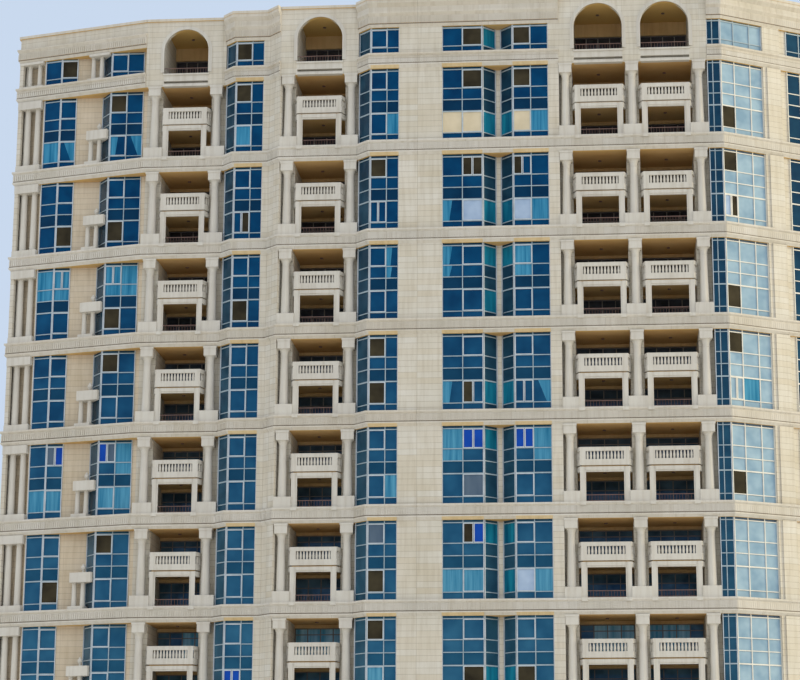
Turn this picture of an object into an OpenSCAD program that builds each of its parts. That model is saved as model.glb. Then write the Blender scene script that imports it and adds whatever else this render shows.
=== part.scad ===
// Apartment block with stone belts, balcony stacks and window bays, as a scale model at 1:2.
// All sizes are millimetres of the model: the building itself measures twice as much.
// The front faces -Y, and the origin is on the ground under the middle of the building.

/* [Heights] */
// Top of the lowest belt above the ground
ground_h = 2500; // [2200:10:3200]
// Number of two-storey bands between belts
bands = 9; // [4:1:9]
// Top of one belt to the top of the next
band_h = 3300; // [3100:10:3500]
// Height of a storey from floor to floor
storey_h = 1650; // [1550:10:1750]
// Top belt to the top of the roof slab
attic_h = 1900; // [1860:10:2100]
// Height of the parapet over the roof
parapet_h = 200; // [120:10:500]
// Head of the attic windows above the top belt
attic_window_h = 1015; // [800:5:1200]

/* [Plan] */
// Depth from the main front to the back
depth = 12000; // [10000:50:14000]
// Angle of the left wing to the main front
wing_a = 15; // [8:1:25]
// Length of the left wing
wing_l = 5330; // [5200:10:5600]
// Length of the first balcony stack's front
stack_1_l = 3000; // [2950:10:3200]
// Step forward from the first stack to the single bay
step_1 = 415; // [300:5:500]
// Length of the single bay's front
bay_l = 1300; // [1150:10:1500]
// Step forward from the single bay to the second stack
step_2 = 460; // [300:5:550]
// Length of the second balcony stack's front
stack_2_l = 2850; // [2800:10:3100]
// Step forward from the second stack to the main front
step_3 = 460; // [300:5:550]
// Length of the main front
main_l = 12615; // [12400:5:12900]
// Angle of the right wing to the main front
right_a = 30; // [15:1:40]
// Length of the right wing
right_l = 5200; // [5100:10:5600]

/* [Walls and floors] */
// Thickness of the stone walls
wall_t = 150; // [100:5:200]
// Thickness of the floor slabs
slab_t = 150; // [100:5:200]
// Floor level below the top of its belt
floor_drop = 275; // [200:5:330]
// Width of the joints between neighbouring stones and slabs
joint = 1; // [0.5:0.5:4]
// Height of the plinth along the foot of the walls
plinth_h = 300; // [150:10:500]
// How far the plinth stands out
plinth_out = 60; // [20:5:100]

/* [Belts] */
// Height of a whole belt
belt_h = 550; // [450:5:650]
// Height of the sill course on a belt
sill_h = 110; // [70:5:150]
// How far the sill course stands out
sill_out = 120; // [90:5:160]
// Slope under the edges of the sills and mouldings
slope_h = 50; // [20:5:60]
// Height of the moulding under a belt's frieze
moulding_h = 145; // [125:5:200]
// How far this moulding stands out
moulding_out = 90; // [70:5:130]
// How far the frieze stands out
frieze_out = 60; // [30:5:68]

/* [Glazing] */
// Thickness of a glass sheet
glass_t = 20; // [10:1:40]
// Glass face behind the stone face
glass_set = 90; // [60:5:120]
// Depth of the V-shaped notch in the main front
notch_d = 450; // [300:10:600]
// Width of the stone post in the notch
notch_post_w = 200; // [120:5:300]

/* [Recesses] */
// Depth of the recesses behind the columns
recess = 415; // [380:5:480]
// Depth of a balcony from the stone face to its glazing
balcony_d = 2200; // [1600:10:2400]
// Height of the walls over the balconies' doors
lintel_h = 110; // [60:5:200]
// Height of the walls over the attic loggias' doors
loggia_lintel_h = 500; // [300:10:700]
// Thickness of the walls over the doors
lintel_t = 100; // [60:5:140]
// Column axis behind the stone face
column_set = 175; // [160:5:200]

/* [Columns] */
// Spacing of the columns of a single stack
pitch_single = 2300; // [2200:5:2330]
// Spacing of the columns of the double stack
pitch_double = 2385; // [2300:5:2400]
// Shaft radius at the foot
shaft_r1 = 165; // [130:1:170]
// Shaft radius at the top
shaft_r2 = 125; // [90:1:135]
// Height of the bell under the capital
bell_h = 240; // [100:5:280]
// Height of the capital block
capital_h = 345; // [200:5:420]
// Half the width of the capital and of the pier behind it
capital_half = 240; // [200:5:260]
// Height of the pedestal
pedestal_h = 390; // [250:5:500]
// Height of the ring at a shaft's neck
ring_h = 30; // [20:5:60]

/* [Balconies] */
// Column axis to the front corner of a balcony
corner_u = 335; // [320:5:420]
// Column axis to the side of a balcony
side_u = 225; // [190:5:240]
// Depth of the slanted corner
slant_d = 300; // [200:5:350]
// Thickness of frames and balustrades
frame_t = 100; // [70:5:130]
// Width and depth of the step along the frame's inner edge
frame_step = 55; // [20:5:70]
// Width of the frame's posts on the front
frame_w = 205; // [120:5:230]
// Deck level above the belt below
deck_z = 1375; // [1300:5:1450]
// Thickness of the upper deck
deck_t = 150; // [100:5:200]
// Height of the frame's head under the deck
head_h = 180; // [120:5:250]
// Dark groove between the frame and the balustrade
groove = 50; // [20:5:80]
// Top of the rail above the deck
rail_z = 550; // [450:5:600]
// Height of the rail
rail_h = 140; // [80:5:180]
// Top of the balustrade's base above the deck
base_z = 125; // [60:5:180]
// Number of balusters on the front of a balcony
balusters_n = 11; // [7:1:13]
// Largest radius of a baluster
baluster_r = 44; // [30:1:48]

/* [Attic] */
// Column axis to the jamb of a loggia
jamb_u = 325; // [300:5:400]
// Springing of the arches above the top belt
spring_h = 850; // [600:5:870]
// Height of the frieze over the attic windows
attic_frieze_h = 400; // [250:5:450]
// How far the cornice stands out
cornice_out = 220; // [150:5:300]
// Height of the coping on the parapet
coping_h = 100; // [60:5:110]

/* [Hidden] */

// The plan is a ring of straight runs, taken anticlockwise from the left front corner.
// A run is [heading, length]: the last three are the right side, the back and the left side.
slope = sqrt(2);
front_runs = [
    [-wing_a, wing_l],
    [0, stack_1_l],
    [-45, step_1 * slope],
    [0, bay_l],
    [-45, step_2 * slope],
    [0, stack_2_l],
    [-45, step_3 * slope],
    [0, main_l],
    [right_a, right_l]];
LEFT_WING = 0;
STACK_1 = LEFT_WING + 1;
RETURN_1 = STACK_1 + 1;
BAY = RETURN_1 + 1;
RETURN_2 = BAY + 1;
STACK_2 = RETURN_2 + 1;
RETURN_3 = STACK_2 + 1;
MAIN = RETURN_3 + 1;
RIGHT_WING = MAIN + 1;
RIGHT_SIDE = RIGHT_WING + 1;
BACK = RIGHT_SIDE + 1;
LEFT_SIDE = BACK + 1;

function ahead(run) = run[1] * [cos(run[0]), sin(run[0])];
function walk(runs, i) = i == 0 ? [0, 0] : walk(runs, i - 1) + ahead(runs[i - 1]);
main_y = walk(front_runs, MAIN)[1];
right_end = walk(front_runs, RIGHT_SIDE);
back_y = main_y + depth;
middle = [right_end[0] / 2, (main_y + back_y) / 2];
corners = [
    for (i = [0 : RIGHT_SIDE]) walk(front_runs, i) - middle,
    [right_end[0], back_y] - middle,
    [0, back_y] - middle];
runs_n = len(corners);

function unit(v) = v / norm(v);
function left_of(v) = [-v[1], v[0]];
function dir(p, i) = unit(p[(i + 1) % len(p)] - p[i % len(p)]);
function run_length(i) = norm(corners[(i + 1) % runs_n] - corners[i]);

// Corner i of the ring, moved inwards by d square to both of its runs
function ring_corner(i, d) =
    let (a = left_of(dir(corners, i + runs_n - 1)), b = left_of(dir(corners, i)))
    corners[i % runs_n] + d * (a + b) / (1 + a * b);

// Point on run i at u along it and d behind the stone face
function at(i, u, d) = corners[i] + u * dir(corners, i) + d * left_of(dir(corners, i));

// End points of a strip on run i: an end at the run's own end is cut on the mitre
function strip_start(i, u, d) =
    u <= 0 ? ring_corner(i, d) + joint / 2 * dir(corners, i) : at(i, u, d);
function strip_end(i, u, d) =
    u >= run_length(i) ? ring_corner(i + 1, d) - joint / 2 * dir(corners, i) : at(i, u, d);

// Upright strip on run i, from u0 to u1 along it and from d0 to d1 behind the stone face
module strip(i, u0, u1, d0, d1, z, h) {
    translate([0, 0, z])
        linear_extrude(h)
            polygon([strip_start(i, u0, d0), strip_end(i, u1, d0), strip_end(i, u1, d1),
                strip_start(i, u0, d1)]);
}

// Prism over plan points given along run i as [u, d]
module run_prism(i, points, z, h) {
    translate([0, 0, z])
        linear_extrude(h)
            polygon([for (p = points) at(i, p[0], p[1])]);
}

// Children drawn in the frame of run i: x along the run and y behind the stone face
module on_run(i) {
    translate([corners[i][0], corners[i][1], 0])
        rotate(atan2(dir(corners, i)[1], dir(corners, i)[0]))
            children();
}

// Strip on run i with a moulded section: profile points are [height, distance out of the stone face]
module moulding(i, u0, u1, z, h, out, profile) {
    reach = 2 * out;
    intersection() {
        strip(i, u0, u1, -out, wall_t, z, h);
        on_run(i)
            translate([u0 - reach, 0, z])
                rotate([90, 0, 90])
                    linear_extrude(u1 - u0 + 2 * reach)
                        polygon(concat([[wall_t, 0]], [for (p = profile) [-p[1], p[0]]], [[wall_t, h]]));
    }
}

// Levels
clear_h = band_h - belt_h;
function belt_z(k) = ground_h + k * band_h;
function middle_z(k) = belt_z(k) - floor_drop + storey_h;
belts = bands + 1;
top_belt_z = belt_z(bands);
roof_z = top_belt_z + attic_h;
ground_floor_h = slab_t;
ground_clear_h = ground_h - belt_h - ground_floor_h;
full_h = band_h - slab_t;
porch_h = ground_h - floor_drop - 2 * slab_t;
loggia_h = attic_h + floor_drop - slab_t;
frieze_h = belt_h - sill_h - moulding_h;

// Left wing, along its run: a recess at its left end, a window whose second light turns parallel to
// the main front at a fold, a wall on with it, a slanted pane, and a second window parallel to the front
left_end_recess = [0.6 * capital_half, 1075];
fold_u = 1766;
fold_wall_u = 2358;
fold_end_u = 3323;
left_window_2_u = 3872;
left_window_2_end = 5055;
left_windows = [
    [LEFT_WING, left_end_recess[1], fold_wall_u],
    [LEFT_WING, left_window_2_u, wing_l]];

// Main front, from its right end: a light beside the corner, the double stack, a pier, two
// windows with a notch between them, a wall, and the window at the left end
corner_light_l = 500;
stack_3_left = 230;
stack_3_right = 300;
main_pier_l = 380;
notch_window_r = 1270;
notch_l = 1100;
notch_window_l = 1450;
main_window_l = 1065;
stack_3_end = main_l - corner_light_l;
stack_3_start = stack_3_end - stack_3_left - 2 * pitch_double - stack_3_right;
main_windows_end = stack_3_start - main_pier_l;
notch = [main_windows_end - notch_window_r - notch_l, main_windows_end - notch_window_r];
main_wall_end = notch[0] - notch_window_l;

bay_window_l = 1065;

// Right wing: a window, a pilaster, a shallow recess, and a second window
right_window_l = 1785;
pilaster = [1935, 2517];
right_window_2 = 2846;
plain_window_l = 1300;
plain_bay_l = 2500;

front_windows = [
    [RETURN_1, 0, run_length(RETURN_1)],
    [BAY, 0, bay_window_l],
    [RETURN_3, 0, run_length(RETURN_3)],
    [MAIN, 0, main_window_l],
    [MAIN, main_wall_end, notch[0]],
    [MAIN, notch[1], main_windows_end],
    [MAIN, stack_3_end, main_l]];
front_walls = [
    [BAY, bay_window_l, bay_l],
    [RETURN_2, 0, run_length(RETURN_2)],
    [MAIN, main_window_l, main_wall_end],
    [MAIN, main_windows_end, stack_3_start],
    [RIGHT_WING, right_window_l, pilaster[1]],
    [RIGHT_WING, right_window_2 + right_window_l, right_l]];
right_windows = [
    [RIGHT_WING, 0, right_window_l],
    [RIGHT_WING, right_window_2, right_window_2 + right_window_l]];

// Balcony stacks as [run, start, end, first column, column spacing, cells]
stacks = [
    [STACK_1, 0, stack_1_l, (stack_1_l - pitch_single) / 2, pitch_single, 1],
    [STACK_2, 0, stack_2_l, (stack_2_l - pitch_single) / 2, pitch_single, 1],
    [MAIN, stack_3_start, stack_3_end, stack_3_start + stack_3_left, pitch_double, 2]];
function column_u(s, c) = s[3] + c * s[4];

// Plain window rows on the sides and the back
function plain_bays(i) = round(run_length(i) / plain_bay_l);
function plain_start(i, b) = (b + 0.5) * run_length(i) / plain_bays(i) - plain_window_l / 2;
function plain_windows(i) =
    [for (b = [0 : plain_bays(i) - 1]) [i, plain_start(i, b), plain_start(i, b) + plain_window_l]];
function plain_walls(i) = [
    for (b = [0 : plain_bays(i)]) [
        i,
        b == 0 ? 0 : plain_start(i, b - 1) + plain_window_l,
        b == plain_bays(i) ? run_length(i) : plain_start(i, b)]];

// Notch in the main front: its post, its slanted panes, and the strip of floor or ceiling in it
post_inset = (notch[1] - notch[0] - notch_post_w) / 2;
post_d = glass_set + notch_d;
module notch_post(z, h) {
    strip(MAIN, notch[0] + post_inset, notch[1] - post_inset, post_d, notch_inner, z, h);
}
module notch_glass(z, h) {
    for (side = [[notch[0], joint, post_inset], [notch[1], -joint, -post_inset]])
        run_prism(MAIN, [[side[0] + side[1], glass_set], [side[0] + side[2], post_d],
            [side[0] + side[2], post_d + glass_t], [side[0] + side[1], glass_set + glass_t]], z, h);
}
module notch_strip(z, h) { strip(MAIN, notch[0], notch[1], wall_t, notch_inner, z, h); }

// Walls and sheets of a list of places, in every band
module in_bands(places, d0, d1) {
    for (k = [0 : bands - 1], p = places)
        strip(p[0], p[1], p[2], d0, d1, belt_z(k), clear_h);
}
module glass_in_bands(places) {
    in_bands(places, glass_set, glass_set + glass_t);
}
module on_ground(places, d0, d1) {
    for (p = places)
        strip(p[0], p[1], p[2], d0, d1, ground_floor_h, ground_clear_h);
}

// Floors: the ring is cut at its inward corners, so that each piece is convex
inner = wall_t;
back_inner_y = back_y - middle[1] - wall_t;
function back_point(x) = [x, back_inner_y];

module floor_piece(points, z, t) {
    translate([0, 0, z - t])
        linear_extrude(t)
            polygon(points);
}

// Whole floor at level z, its edge against the inside of the walls
module whole_floor(z, t) {
    a = ring_corner(RETURN_1, inner);
    b = ring_corner(RETURN_2, inner);
    c = ring_corner(RETURN_3, inner);
    j = joint / 2;
    floor_piece([ring_corner(LEFT_WING, inner), ring_corner(STACK_1, inner), a - [j, 0],
        back_point(a[0] - j), ring_corner(LEFT_SIDE, inner)], z, t);
    floor_piece([a + [j, 0], ring_corner(BAY, inner), b - [j, 0], back_point(b[0] - j),
        back_point(a[0] + j)], z, t);
    floor_piece([b + [j, 0], ring_corner(STACK_2, inner), c - [j, 0], back_point(c[0] - j),
        back_point(b[0] + j)], z, t);
    floor_piece([c + [j, 0], ring_corner(MAIN, inner), ring_corner(RIGHT_WING, inner),
        ring_corner(RIGHT_SIDE, inner), ring_corner(BACK, inner), back_point(c[0] + j)], z, t);
}

// Depths behind the left wing's face: of its two faces parallel to the front, and of its slanted pane
function fold_d(u) = glass_set + (u - fold_u) * tan(wing_a);
function window_2_d(u) = glass_set + (u - left_window_2_u) * tan(wing_a);
pane_slope = (fold_d(fold_end_u) - glass_set) / (left_window_2_u - fold_end_u);
function pane_d(u) = fold_d(fold_end_u) - (u - fold_end_u) * pane_slope;
recess_inner = fold_d(fold_end_u) + wall_t;
// Where a face that starts at u0 on the glass line, or the slanted pane, passes the walls' inside
function edge_u(u0, back) = u0 + (wall_t - glass_set - back) / tan(wing_a);
function pane_edge_u(back) = fold_end_u + (fold_d(fold_end_u) + back - wall_t) / pane_slope;
// Where the wing meets the first stack, at depth d
function wing_end_u(d) = wing_l - d * tan(wing_a) - 2 * joint;
loggia_inner = balcony_d + glass_t;
notch_inner = post_d + wall_t;

// Point at x on the line that runs d behind the face of run i
function line_at(i, d, x) = at(i, (x - at(i, 0, d)[0]) / dir(corners, i)[0], d);

// Zones between two belts, as [run, edge behind its face, start x, end x]
wing_x = corners[LEFT_WING][0] + inner;
stack_1_x = corners[STACK_1][0];
return_1_x = corners[RETURN_1][0];
bay_end_x = corners[RETURN_2][0];
return_3_x = corners[RETURN_3][0];
stack_3_x = at(MAIN, stack_3_start, 0)[0];
stack_3_end_x = at(MAIN, stack_3_end, 0)[0];
zones = [
    [LEFT_WING, recess_inner, wing_x, stack_1_x],
    [STACK_1, loggia_inner, stack_1_x, return_1_x],
    [BAY, notch_inner, return_1_x, bay_end_x],
    [STACK_2, loggia_inner, bay_end_x, return_3_x],
    [MAIN, notch_inner, return_3_x, stack_3_x],
    [MAIN, loggia_inner, stack_3_x, stack_3_end_x]];

// Floor between two belts, set back behind the recesses and balconies
module middle_floor(z, t) {
    j = joint / 2;
    for (zone = zones) {
        x0 = zone[2] + (zone[0] == LEFT_WING ? 0 : j);
        x1 = zone[3] - j;
        floor_piece([line_at(zone[0], zone[1], x0), line_at(zone[0], zone[1], x1), back_point(x1),
            back_point(x0)], z, t);
    }
    floor_piece([line_at(MAIN, inner, stack_3_end_x + j), ring_corner(RIGHT_WING, inner),
        ring_corner(RIGHT_SIDE, inner), ring_corner(BACK, inner), back_point(stack_3_end_x + j)], z, t);
}

stone = [0.85, 0.79, 0.67];
pale = [0.88, 0.83, 0.73];
blue = [0.05, 0.28, 0.5];
concrete = [0.6, 0.58, 0.54];

module base_slab() { color(concrete) whole_floor(ground_floor_h, ground_floor_h); }

module belt_floors() {
    color(concrete)
        for (k = [0 : bands])
            whole_floor(belt_z(k) - floor_drop, slab_t);
}

module middle_floors() {
    color(concrete)
        for (k = [0 : bands - 1])
            middle_floor(middle_z(k), slab_t);
}

module roof_slab() { color(concrete) whole_floor(roof_z, slab_t); }

// Lower pieces of the bay windows' floors, in front of the middle floors
floor_bays = [
    [BAY, 0, bay_l, notch_inner],
    [MAIN, 0, notch[0], notch_inner],
    [MAIN, notch[1], stack_3_start, notch_inner]];
floor_back = recess_inner - joint;
pane_back = glass_t * sqrt(1 + pane_slope * pane_slope);
wing_floors = [
    [[left_end_recess[1], wall_t], [edge_u(fold_u, glass_t + joint), wall_t],
        [fold_wall_u, fold_d(fold_wall_u) + glass_t + joint], [fold_wall_u, floor_back],
        [left_end_recess[1], floor_back]],
    [[fold_end_u + joint, floor_back], [fold_end_u + joint, pane_d(fold_end_u) + pane_back + joint],
        [pane_edge_u(pane_back + joint), wall_t], [edge_u(left_window_2_u, glass_t + joint), wall_t],
        [left_window_2_end, window_2_d(left_window_2_end) + glass_t + joint],
        [left_window_2_end, floor_back]]];
module bay_floors() {
    color(concrete)
        for (k = [0 : bands - 1]) {
            z = middle_z(k) - slab_t;
            for (b = floor_bays)
                strip(b[0], b[1], b[2], wall_t, b[3] - joint, z, slab_t);
            for (points = wing_floors)
                run_prism(LEFT_WING, points, z, slab_t);
        }
}

// Belts: whole rings, except that the top belt stops at the loggias
all_runs = [for (i = [0 : runs_n - 1]) [i, 0, run_length(i)]];
attic_runs = concat(
    [for (r = all_runs) if (r[0] != STACK_1 && r[0] != STACK_2 && r[0] != MAIN) r],
    [[MAIN, 0, stack_3_start], [MAIN, stack_3_end, main_l]]);
module belt_course(out, drop, h, profile) {
    for (k = [0 : bands], r = k == bands ? attic_runs : all_runs)
        moulding(r[0], r[1], r[2], belt_z(k) - drop - h, h, out, profile);
}
module belt_sills() {
    color(pale)
        belt_course(sill_out, 0, sill_h, [[0, frieze_out], [slope_h, sill_out], [sill_h, sill_out]]);
}
module belt_friezes() {
    color(stone)
        belt_course(frieze_out, sill_h, frieze_h, [[0, frieze_out], [frieze_h, frieze_out]]);
}
module belt_mouldings() {
    color(pale)
        belt_course(moulding_out, sill_h + frieze_h, moulding_h,
            [[0, 0], [2 * slope_h, moulding_out], [moulding_h, moulding_out]]);
}

// Walls between the windows
module front_piers() {
    color(stone) {
        in_bands(front_walls, 0, wall_t);
        for (k = [0 : bands - 1])
            notch_post(belt_z(k), clear_h);
        in_bands([[LEFT_WING, 0, left_end_recess[0]]], 0, wall_t);
        in_bands([[RIGHT_WING, pilaster[1] + joint, right_window_2]], glass_set, wall_t);
    }
}
// Pilasters beside the recess of the right wing
pilaster_out = 45;
module pilasters() {
    color(stone)
        in_bands([[RIGHT_WING, pilaster[0], pilaster[1]]], -pilaster_out, -joint);
}
module side_piers() {
    color(stone)
        in_bands(concat(plain_walls(RIGHT_SIDE), plain_walls(LEFT_SIDE)), 0, wall_t);
}
module back_piers() { color(stone) in_bands(plain_walls(BACK), 0, wall_t); }

// Left wing: the wall of the recess at its end, with a cheek beside the window, the wall between
// the windows, and the jamb at the first stack
cheek_t = 50;
function wing_u(d) = (inner - d * sin(wing_a)) / cos(wing_a);
jamb_front = window_2_d(left_window_2_end + joint);
module recess_level(z, h, cheek_z, cheek_h) {
    run_prism(LEFT_WING, [[wing_u(recess), recess], [left_end_recess[1], recess],
        [left_end_recess[1], recess_inner], [wing_u(recess_inner), recess_inner]], z, h);
    run_prism(LEFT_WING, [[fold_wall_u + joint, fold_d(fold_wall_u + joint)],
        [fold_end_u, fold_d(fold_end_u)], [fold_end_u, recess_inner],
        [fold_wall_u + joint, recess_inner]], z, h);
    run_prism(LEFT_WING, [[left_window_2_end + joint, jamb_front], [wing_end_u(jamb_front), jamb_front],
        [wing_end_u(recess_inner), recess_inner], [left_window_2_end + joint, recess_inner]], z, h);
    strip(LEFT_WING, left_end_recess[1] - cheek_t, left_end_recess[1], glass_set, recess - joint, cheek_z,
        cheek_h);
}
module recess_walls() {
    color(stone) {
        for (k = [0 : bands - 1])
            recess_level(belt_z(k) - floor_drop, full_h, belt_z(k), clear_h);
        recess_level(top_belt_z - floor_drop, loggia_h, top_belt_z, attic_window_h);
    }
}

// Glass
module left_wing_sheet(u0, d0, u1, d1, back, z, h) {
    run_prism(LEFT_WING, [[u0, d0], [u1, d1], [u1, d1 + back], [u0, d0 + back]], z, h);
}
module left_wing_glass(z, h) {
    left_wing_sheet(left_end_recess[1], glass_set, fold_u - joint, glass_set, glass_t, z, h);
    left_wing_sheet(fold_u, glass_set, fold_wall_u, fold_d(fold_wall_u), glass_t, z, h);
    left_wing_sheet(fold_end_u + joint, pane_d(fold_end_u + joint), left_window_2_u - joint,
        pane_d(left_window_2_u - joint), pane_back, z, h);
    left_wing_sheet(left_window_2_u, glass_set, left_window_2_end, window_2_d(left_window_2_end), glass_t,
        z, h);
}
module glazing_left_wing() {
    color(blue) {
        for (k = [0 : bands - 1])
            left_wing_glass(belt_z(k), clear_h);
        on_ground(left_windows, glass_set, glass_set + glass_t);
    }
}
module glazing_front() {
    color(blue) {
        glass_in_bands(front_windows);
        for (k = [0 : bands - 1])
            notch_glass(belt_z(k), clear_h);
        on_ground(front_windows, glass_set, glass_set + glass_t);
        on_ground([[MAIN, notch[0] + joint, notch[1] - joint]], glass_set, glass_set + glass_t);
    }
}
module glazing_right_wing() {
    color(blue) {
        glass_in_bands(right_windows);
        on_ground(right_windows, glass_set, glass_set + glass_t);
    }
}
module glazing_sides() {
    windows = concat(plain_windows(RIGHT_SIDE), plain_windows(LEFT_SIDE));
    color(blue) {
        glass_in_bands(windows);
        on_ground(windows, glass_set, glass_set + glass_t);
    }
}
module glazing_back() {
    color(blue) {
        glass_in_bands(plain_windows(BACK));
        on_ground(plain_windows(BACK), glass_set, glass_set + glass_t);
    }
}

// Ground storey
ground_walls = concat(
    front_walls,
    [[LEFT_WING, 0, left_end_recess[1]], [LEFT_WING, fold_wall_u, left_window_2_u],
        [RIGHT_WING, pilaster[1] + joint, right_window_2]],
    plain_walls(RIGHT_SIDE), plain_walls(BACK), plain_walls(LEFT_SIDE));
module ground_piers() {
    color(stone) {
        for (w = ground_walls)
            strip(w[0], w[1], w[2], 0, wall_t, 0, ground_h - belt_h);
        for (s = stacks, c = [0 : s[5]]) {
            u = column_u(s, c);
            strip(s[0], u - capital_half, u + capital_half, capital_front, wall_t, 0, ground_h - belt_h);
            strip(s[0], pier_start(s, c), pier_end(s, c), wall_t + joint, balcony_d, slab_t, porch_h);
        }
    }
}
module plinth() {
    color(stone)
        for (r = attic_runs)
            strip(r[0], r[1], r[2], -plinth_out, 0, 0, plinth_h);
}

// Balcony stacks
capital_front = column_set - (recess - column_set);
function pier_start(s, c) = c == 0 ? s[1] + joint : column_u(s, c) - capital_half;
function pier_end(s, c) = c == s[5] ? s[2] - joint : column_u(s, c) + capital_half;

module balcony_piers() {
    color(stone)
        for (k = [0 : bands - 1], s = stacks, c = [0 : s[5]])
            strip(s[0], pier_start(s, c), pier_end(s, c), recess, balcony_d, belt_z(k) - floor_drop,
                full_h);
}
// Walls over the doors, from their heads to the ceiling
module door_lintel(s, c, u_in, ceiling_z, h) {
    strip(s[0], column_u(s, c) + u_in + joint, column_u(s, c + 1) - u_in - joint, balcony_d - lintel_t,
        balcony_d - joint, ceiling_z - joint - h, h);
}
module balcony_lintels() {
    color(stone)
        for (s = stacks, c = [0 : s[5] - 1]) {
            for (k = [0 : bands - 1]) {
                door_lintel(s, c, capital_half, belt_z(k) + deck_z - deck_t, lintel_h);
                door_lintel(s, c, capital_half, belt_z(k + 1) - belt_h, lintel_h);
            }
            door_lintel(s, c, jamb_u, roof_z - slab_t, loggia_lintel_h);
        }
}
module balcony_glazing() {
    color(blue)
        for (s = stacks) {
            for (k = [0 : bands - 1])
                strip(s[0], s[1] + joint, s[2] - joint, balcony_d, loggia_inner, belt_z(k) - floor_drop,
                    full_h);
            strip(s[0], s[1] + joint, s[2] - joint, balcony_d, loggia_inner, slab_t, porch_h);
            strip(s[0], s[1] + joint, s[2] - joint, balcony_d, balcony_d + glass_t, top_belt_z - floor_drop,
                loggia_h);
        }
}

// Ceilings under the belts, and the kerbs that the columns stand on
soffit_t = 40;
wing_strips = [
    [[wing_u(wall_t), wall_t], [left_end_recess[1] - cheek_t, wall_t],
        [left_end_recess[1] - cheek_t, recess - joint], [wing_u(recess - joint), recess - joint]],
    [[edge_u(fold_u, glass_t), wall_t], [fold_wall_u, wall_t],
        [fold_wall_u, fold_d(fold_wall_u) + glass_t]],
    [[fold_wall_u + joint, wall_t], [fold_end_u, wall_t], [fold_end_u, fold_d(fold_end_u) - joint],
        [fold_wall_u + joint, fold_d(fold_wall_u) - joint]],
    [[fold_end_u + joint, wall_t], [pane_edge_u(pane_back), wall_t],
        [fold_end_u + joint, pane_d(fold_end_u + joint) + pane_back]],
    [[edge_u(left_window_2_u, glass_t), wall_t], [left_window_2_end, wall_t],
        [left_window_2_end, window_2_d(left_window_2_end) + glass_t]],
    [[left_window_2_end + joint, wall_t], [wing_end_u(wall_t), wall_t],
        [wing_end_u(jamb_front - joint), jamb_front - joint],
        [left_window_2_end + joint, jamb_front - joint]]];
module recess_strips(z, h) {
    for (points = wing_strips)
        run_prism(LEFT_WING, points, z, h);
}
module open_strips(z, h) {
    for (s = stacks)
        strip(s[0], s[1] + joint, s[2] - joint, wall_t, recess - joint, z, h);
}
module balcony_soffits() {
    color(stone) {
        recess_strips(top_belt_z + attic_window_h, soffit_t);
        notch_strip(top_belt_z + attic_window_h, soffit_t);
        for (k = [1 : bands]) {
            z = belt_z(k) - belt_h;
            open_strips(z, soffit_t);
            recess_strips(z, belt_h - floor_drop - slab_t);
            notch_strip(z, belt_h - floor_drop - slab_t);
            for (s = stacks, c = [0 : s[5] - 1])
                strip(s[0], pier_end(s, c), pier_start(s, c + 1), recess, balcony_d, z, soffit_t);
        }
    }
}
module balcony_kerbs() {
    color(stone) {
        for (k = [0 : bands - 1])
            open_strips(belt_z(k) - floor_drop, floor_drop);
        for (k = [0 : bands]) {
            recess_strips(belt_z(k) - floor_drop, floor_drop);
            notch_strip(belt_z(k) - floor_drop, floor_drop);
        }
    }
}

// Outline of a balcony in the frame of its run, from the left column's axis
function balcony_path(pitch) = [
    [side_u, recess], [side_u, slant_d], [corner_u, 0],
    [pitch - corner_u, 0], [pitch - side_u, slant_d], [pitch - side_u, recess]];
// Corner i of an open path, moved to its left by d
function path_corner(p, i, d) =
    let (b = i < len(p) - 1 ? unit(p[i + 1] - p[i]) : unit(p[i] - p[i - 1]),
        a = i > 0 ? unit(p[i] - p[i - 1]) : b)
    p[i] + d * (left_of(a) + left_of(b)) / (1 + a * b);
function path_dir(p, i) = unit(p[i + 1] - p[i]);

// Piece of the balcony's edge over segment i of its outline, d0 to d1 inwards
module edge_piece(p, i, d0, d1, z, h) {
    cut = joint / 2 * path_dir(p, i);
    translate([0, 0, z])
        linear_extrude(h)
            polygon([path_corner(p, i, d0) + cut, path_corner(p, i + 1, d0) - cut,
                path_corner(p, i + 1, d1) - cut, path_corner(p, i, d1) + cut]);
}
// Post over the front segment, from its left or right corner, with a step along its inner edge
module front_post(p, right, w, z, h, step = 0) {
    cut = joint / 2 * path_dir(p, 2);
    corner = right ? 3 : 2;
    side = right ? -1 : 1;
    translate([0, 0, z])
        linear_extrude(h)
            polygon([path_corner(p, corner, 0) + side * cut, p[corner] + [side * (w - step), 0],
                p[corner] + [side * (w - step), step / 2], p[corner] + [side * w, step / 2],
                p[corner] + [side * w, frame_t], path_corner(p, corner, frame_t) + side * cut]);
}

// Children for every balcony, in its own frame
module each_balcony() {
    for (k = [0 : bands - 1], s = stacks, c = [0 : s[5] - 1])
        translate([0, 0, belt_z(k)])
            on_run(s[0])
                translate([column_u(s, c), 0, 0]) {
                    $pitch = s[4];
                    children();
                }
}

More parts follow.
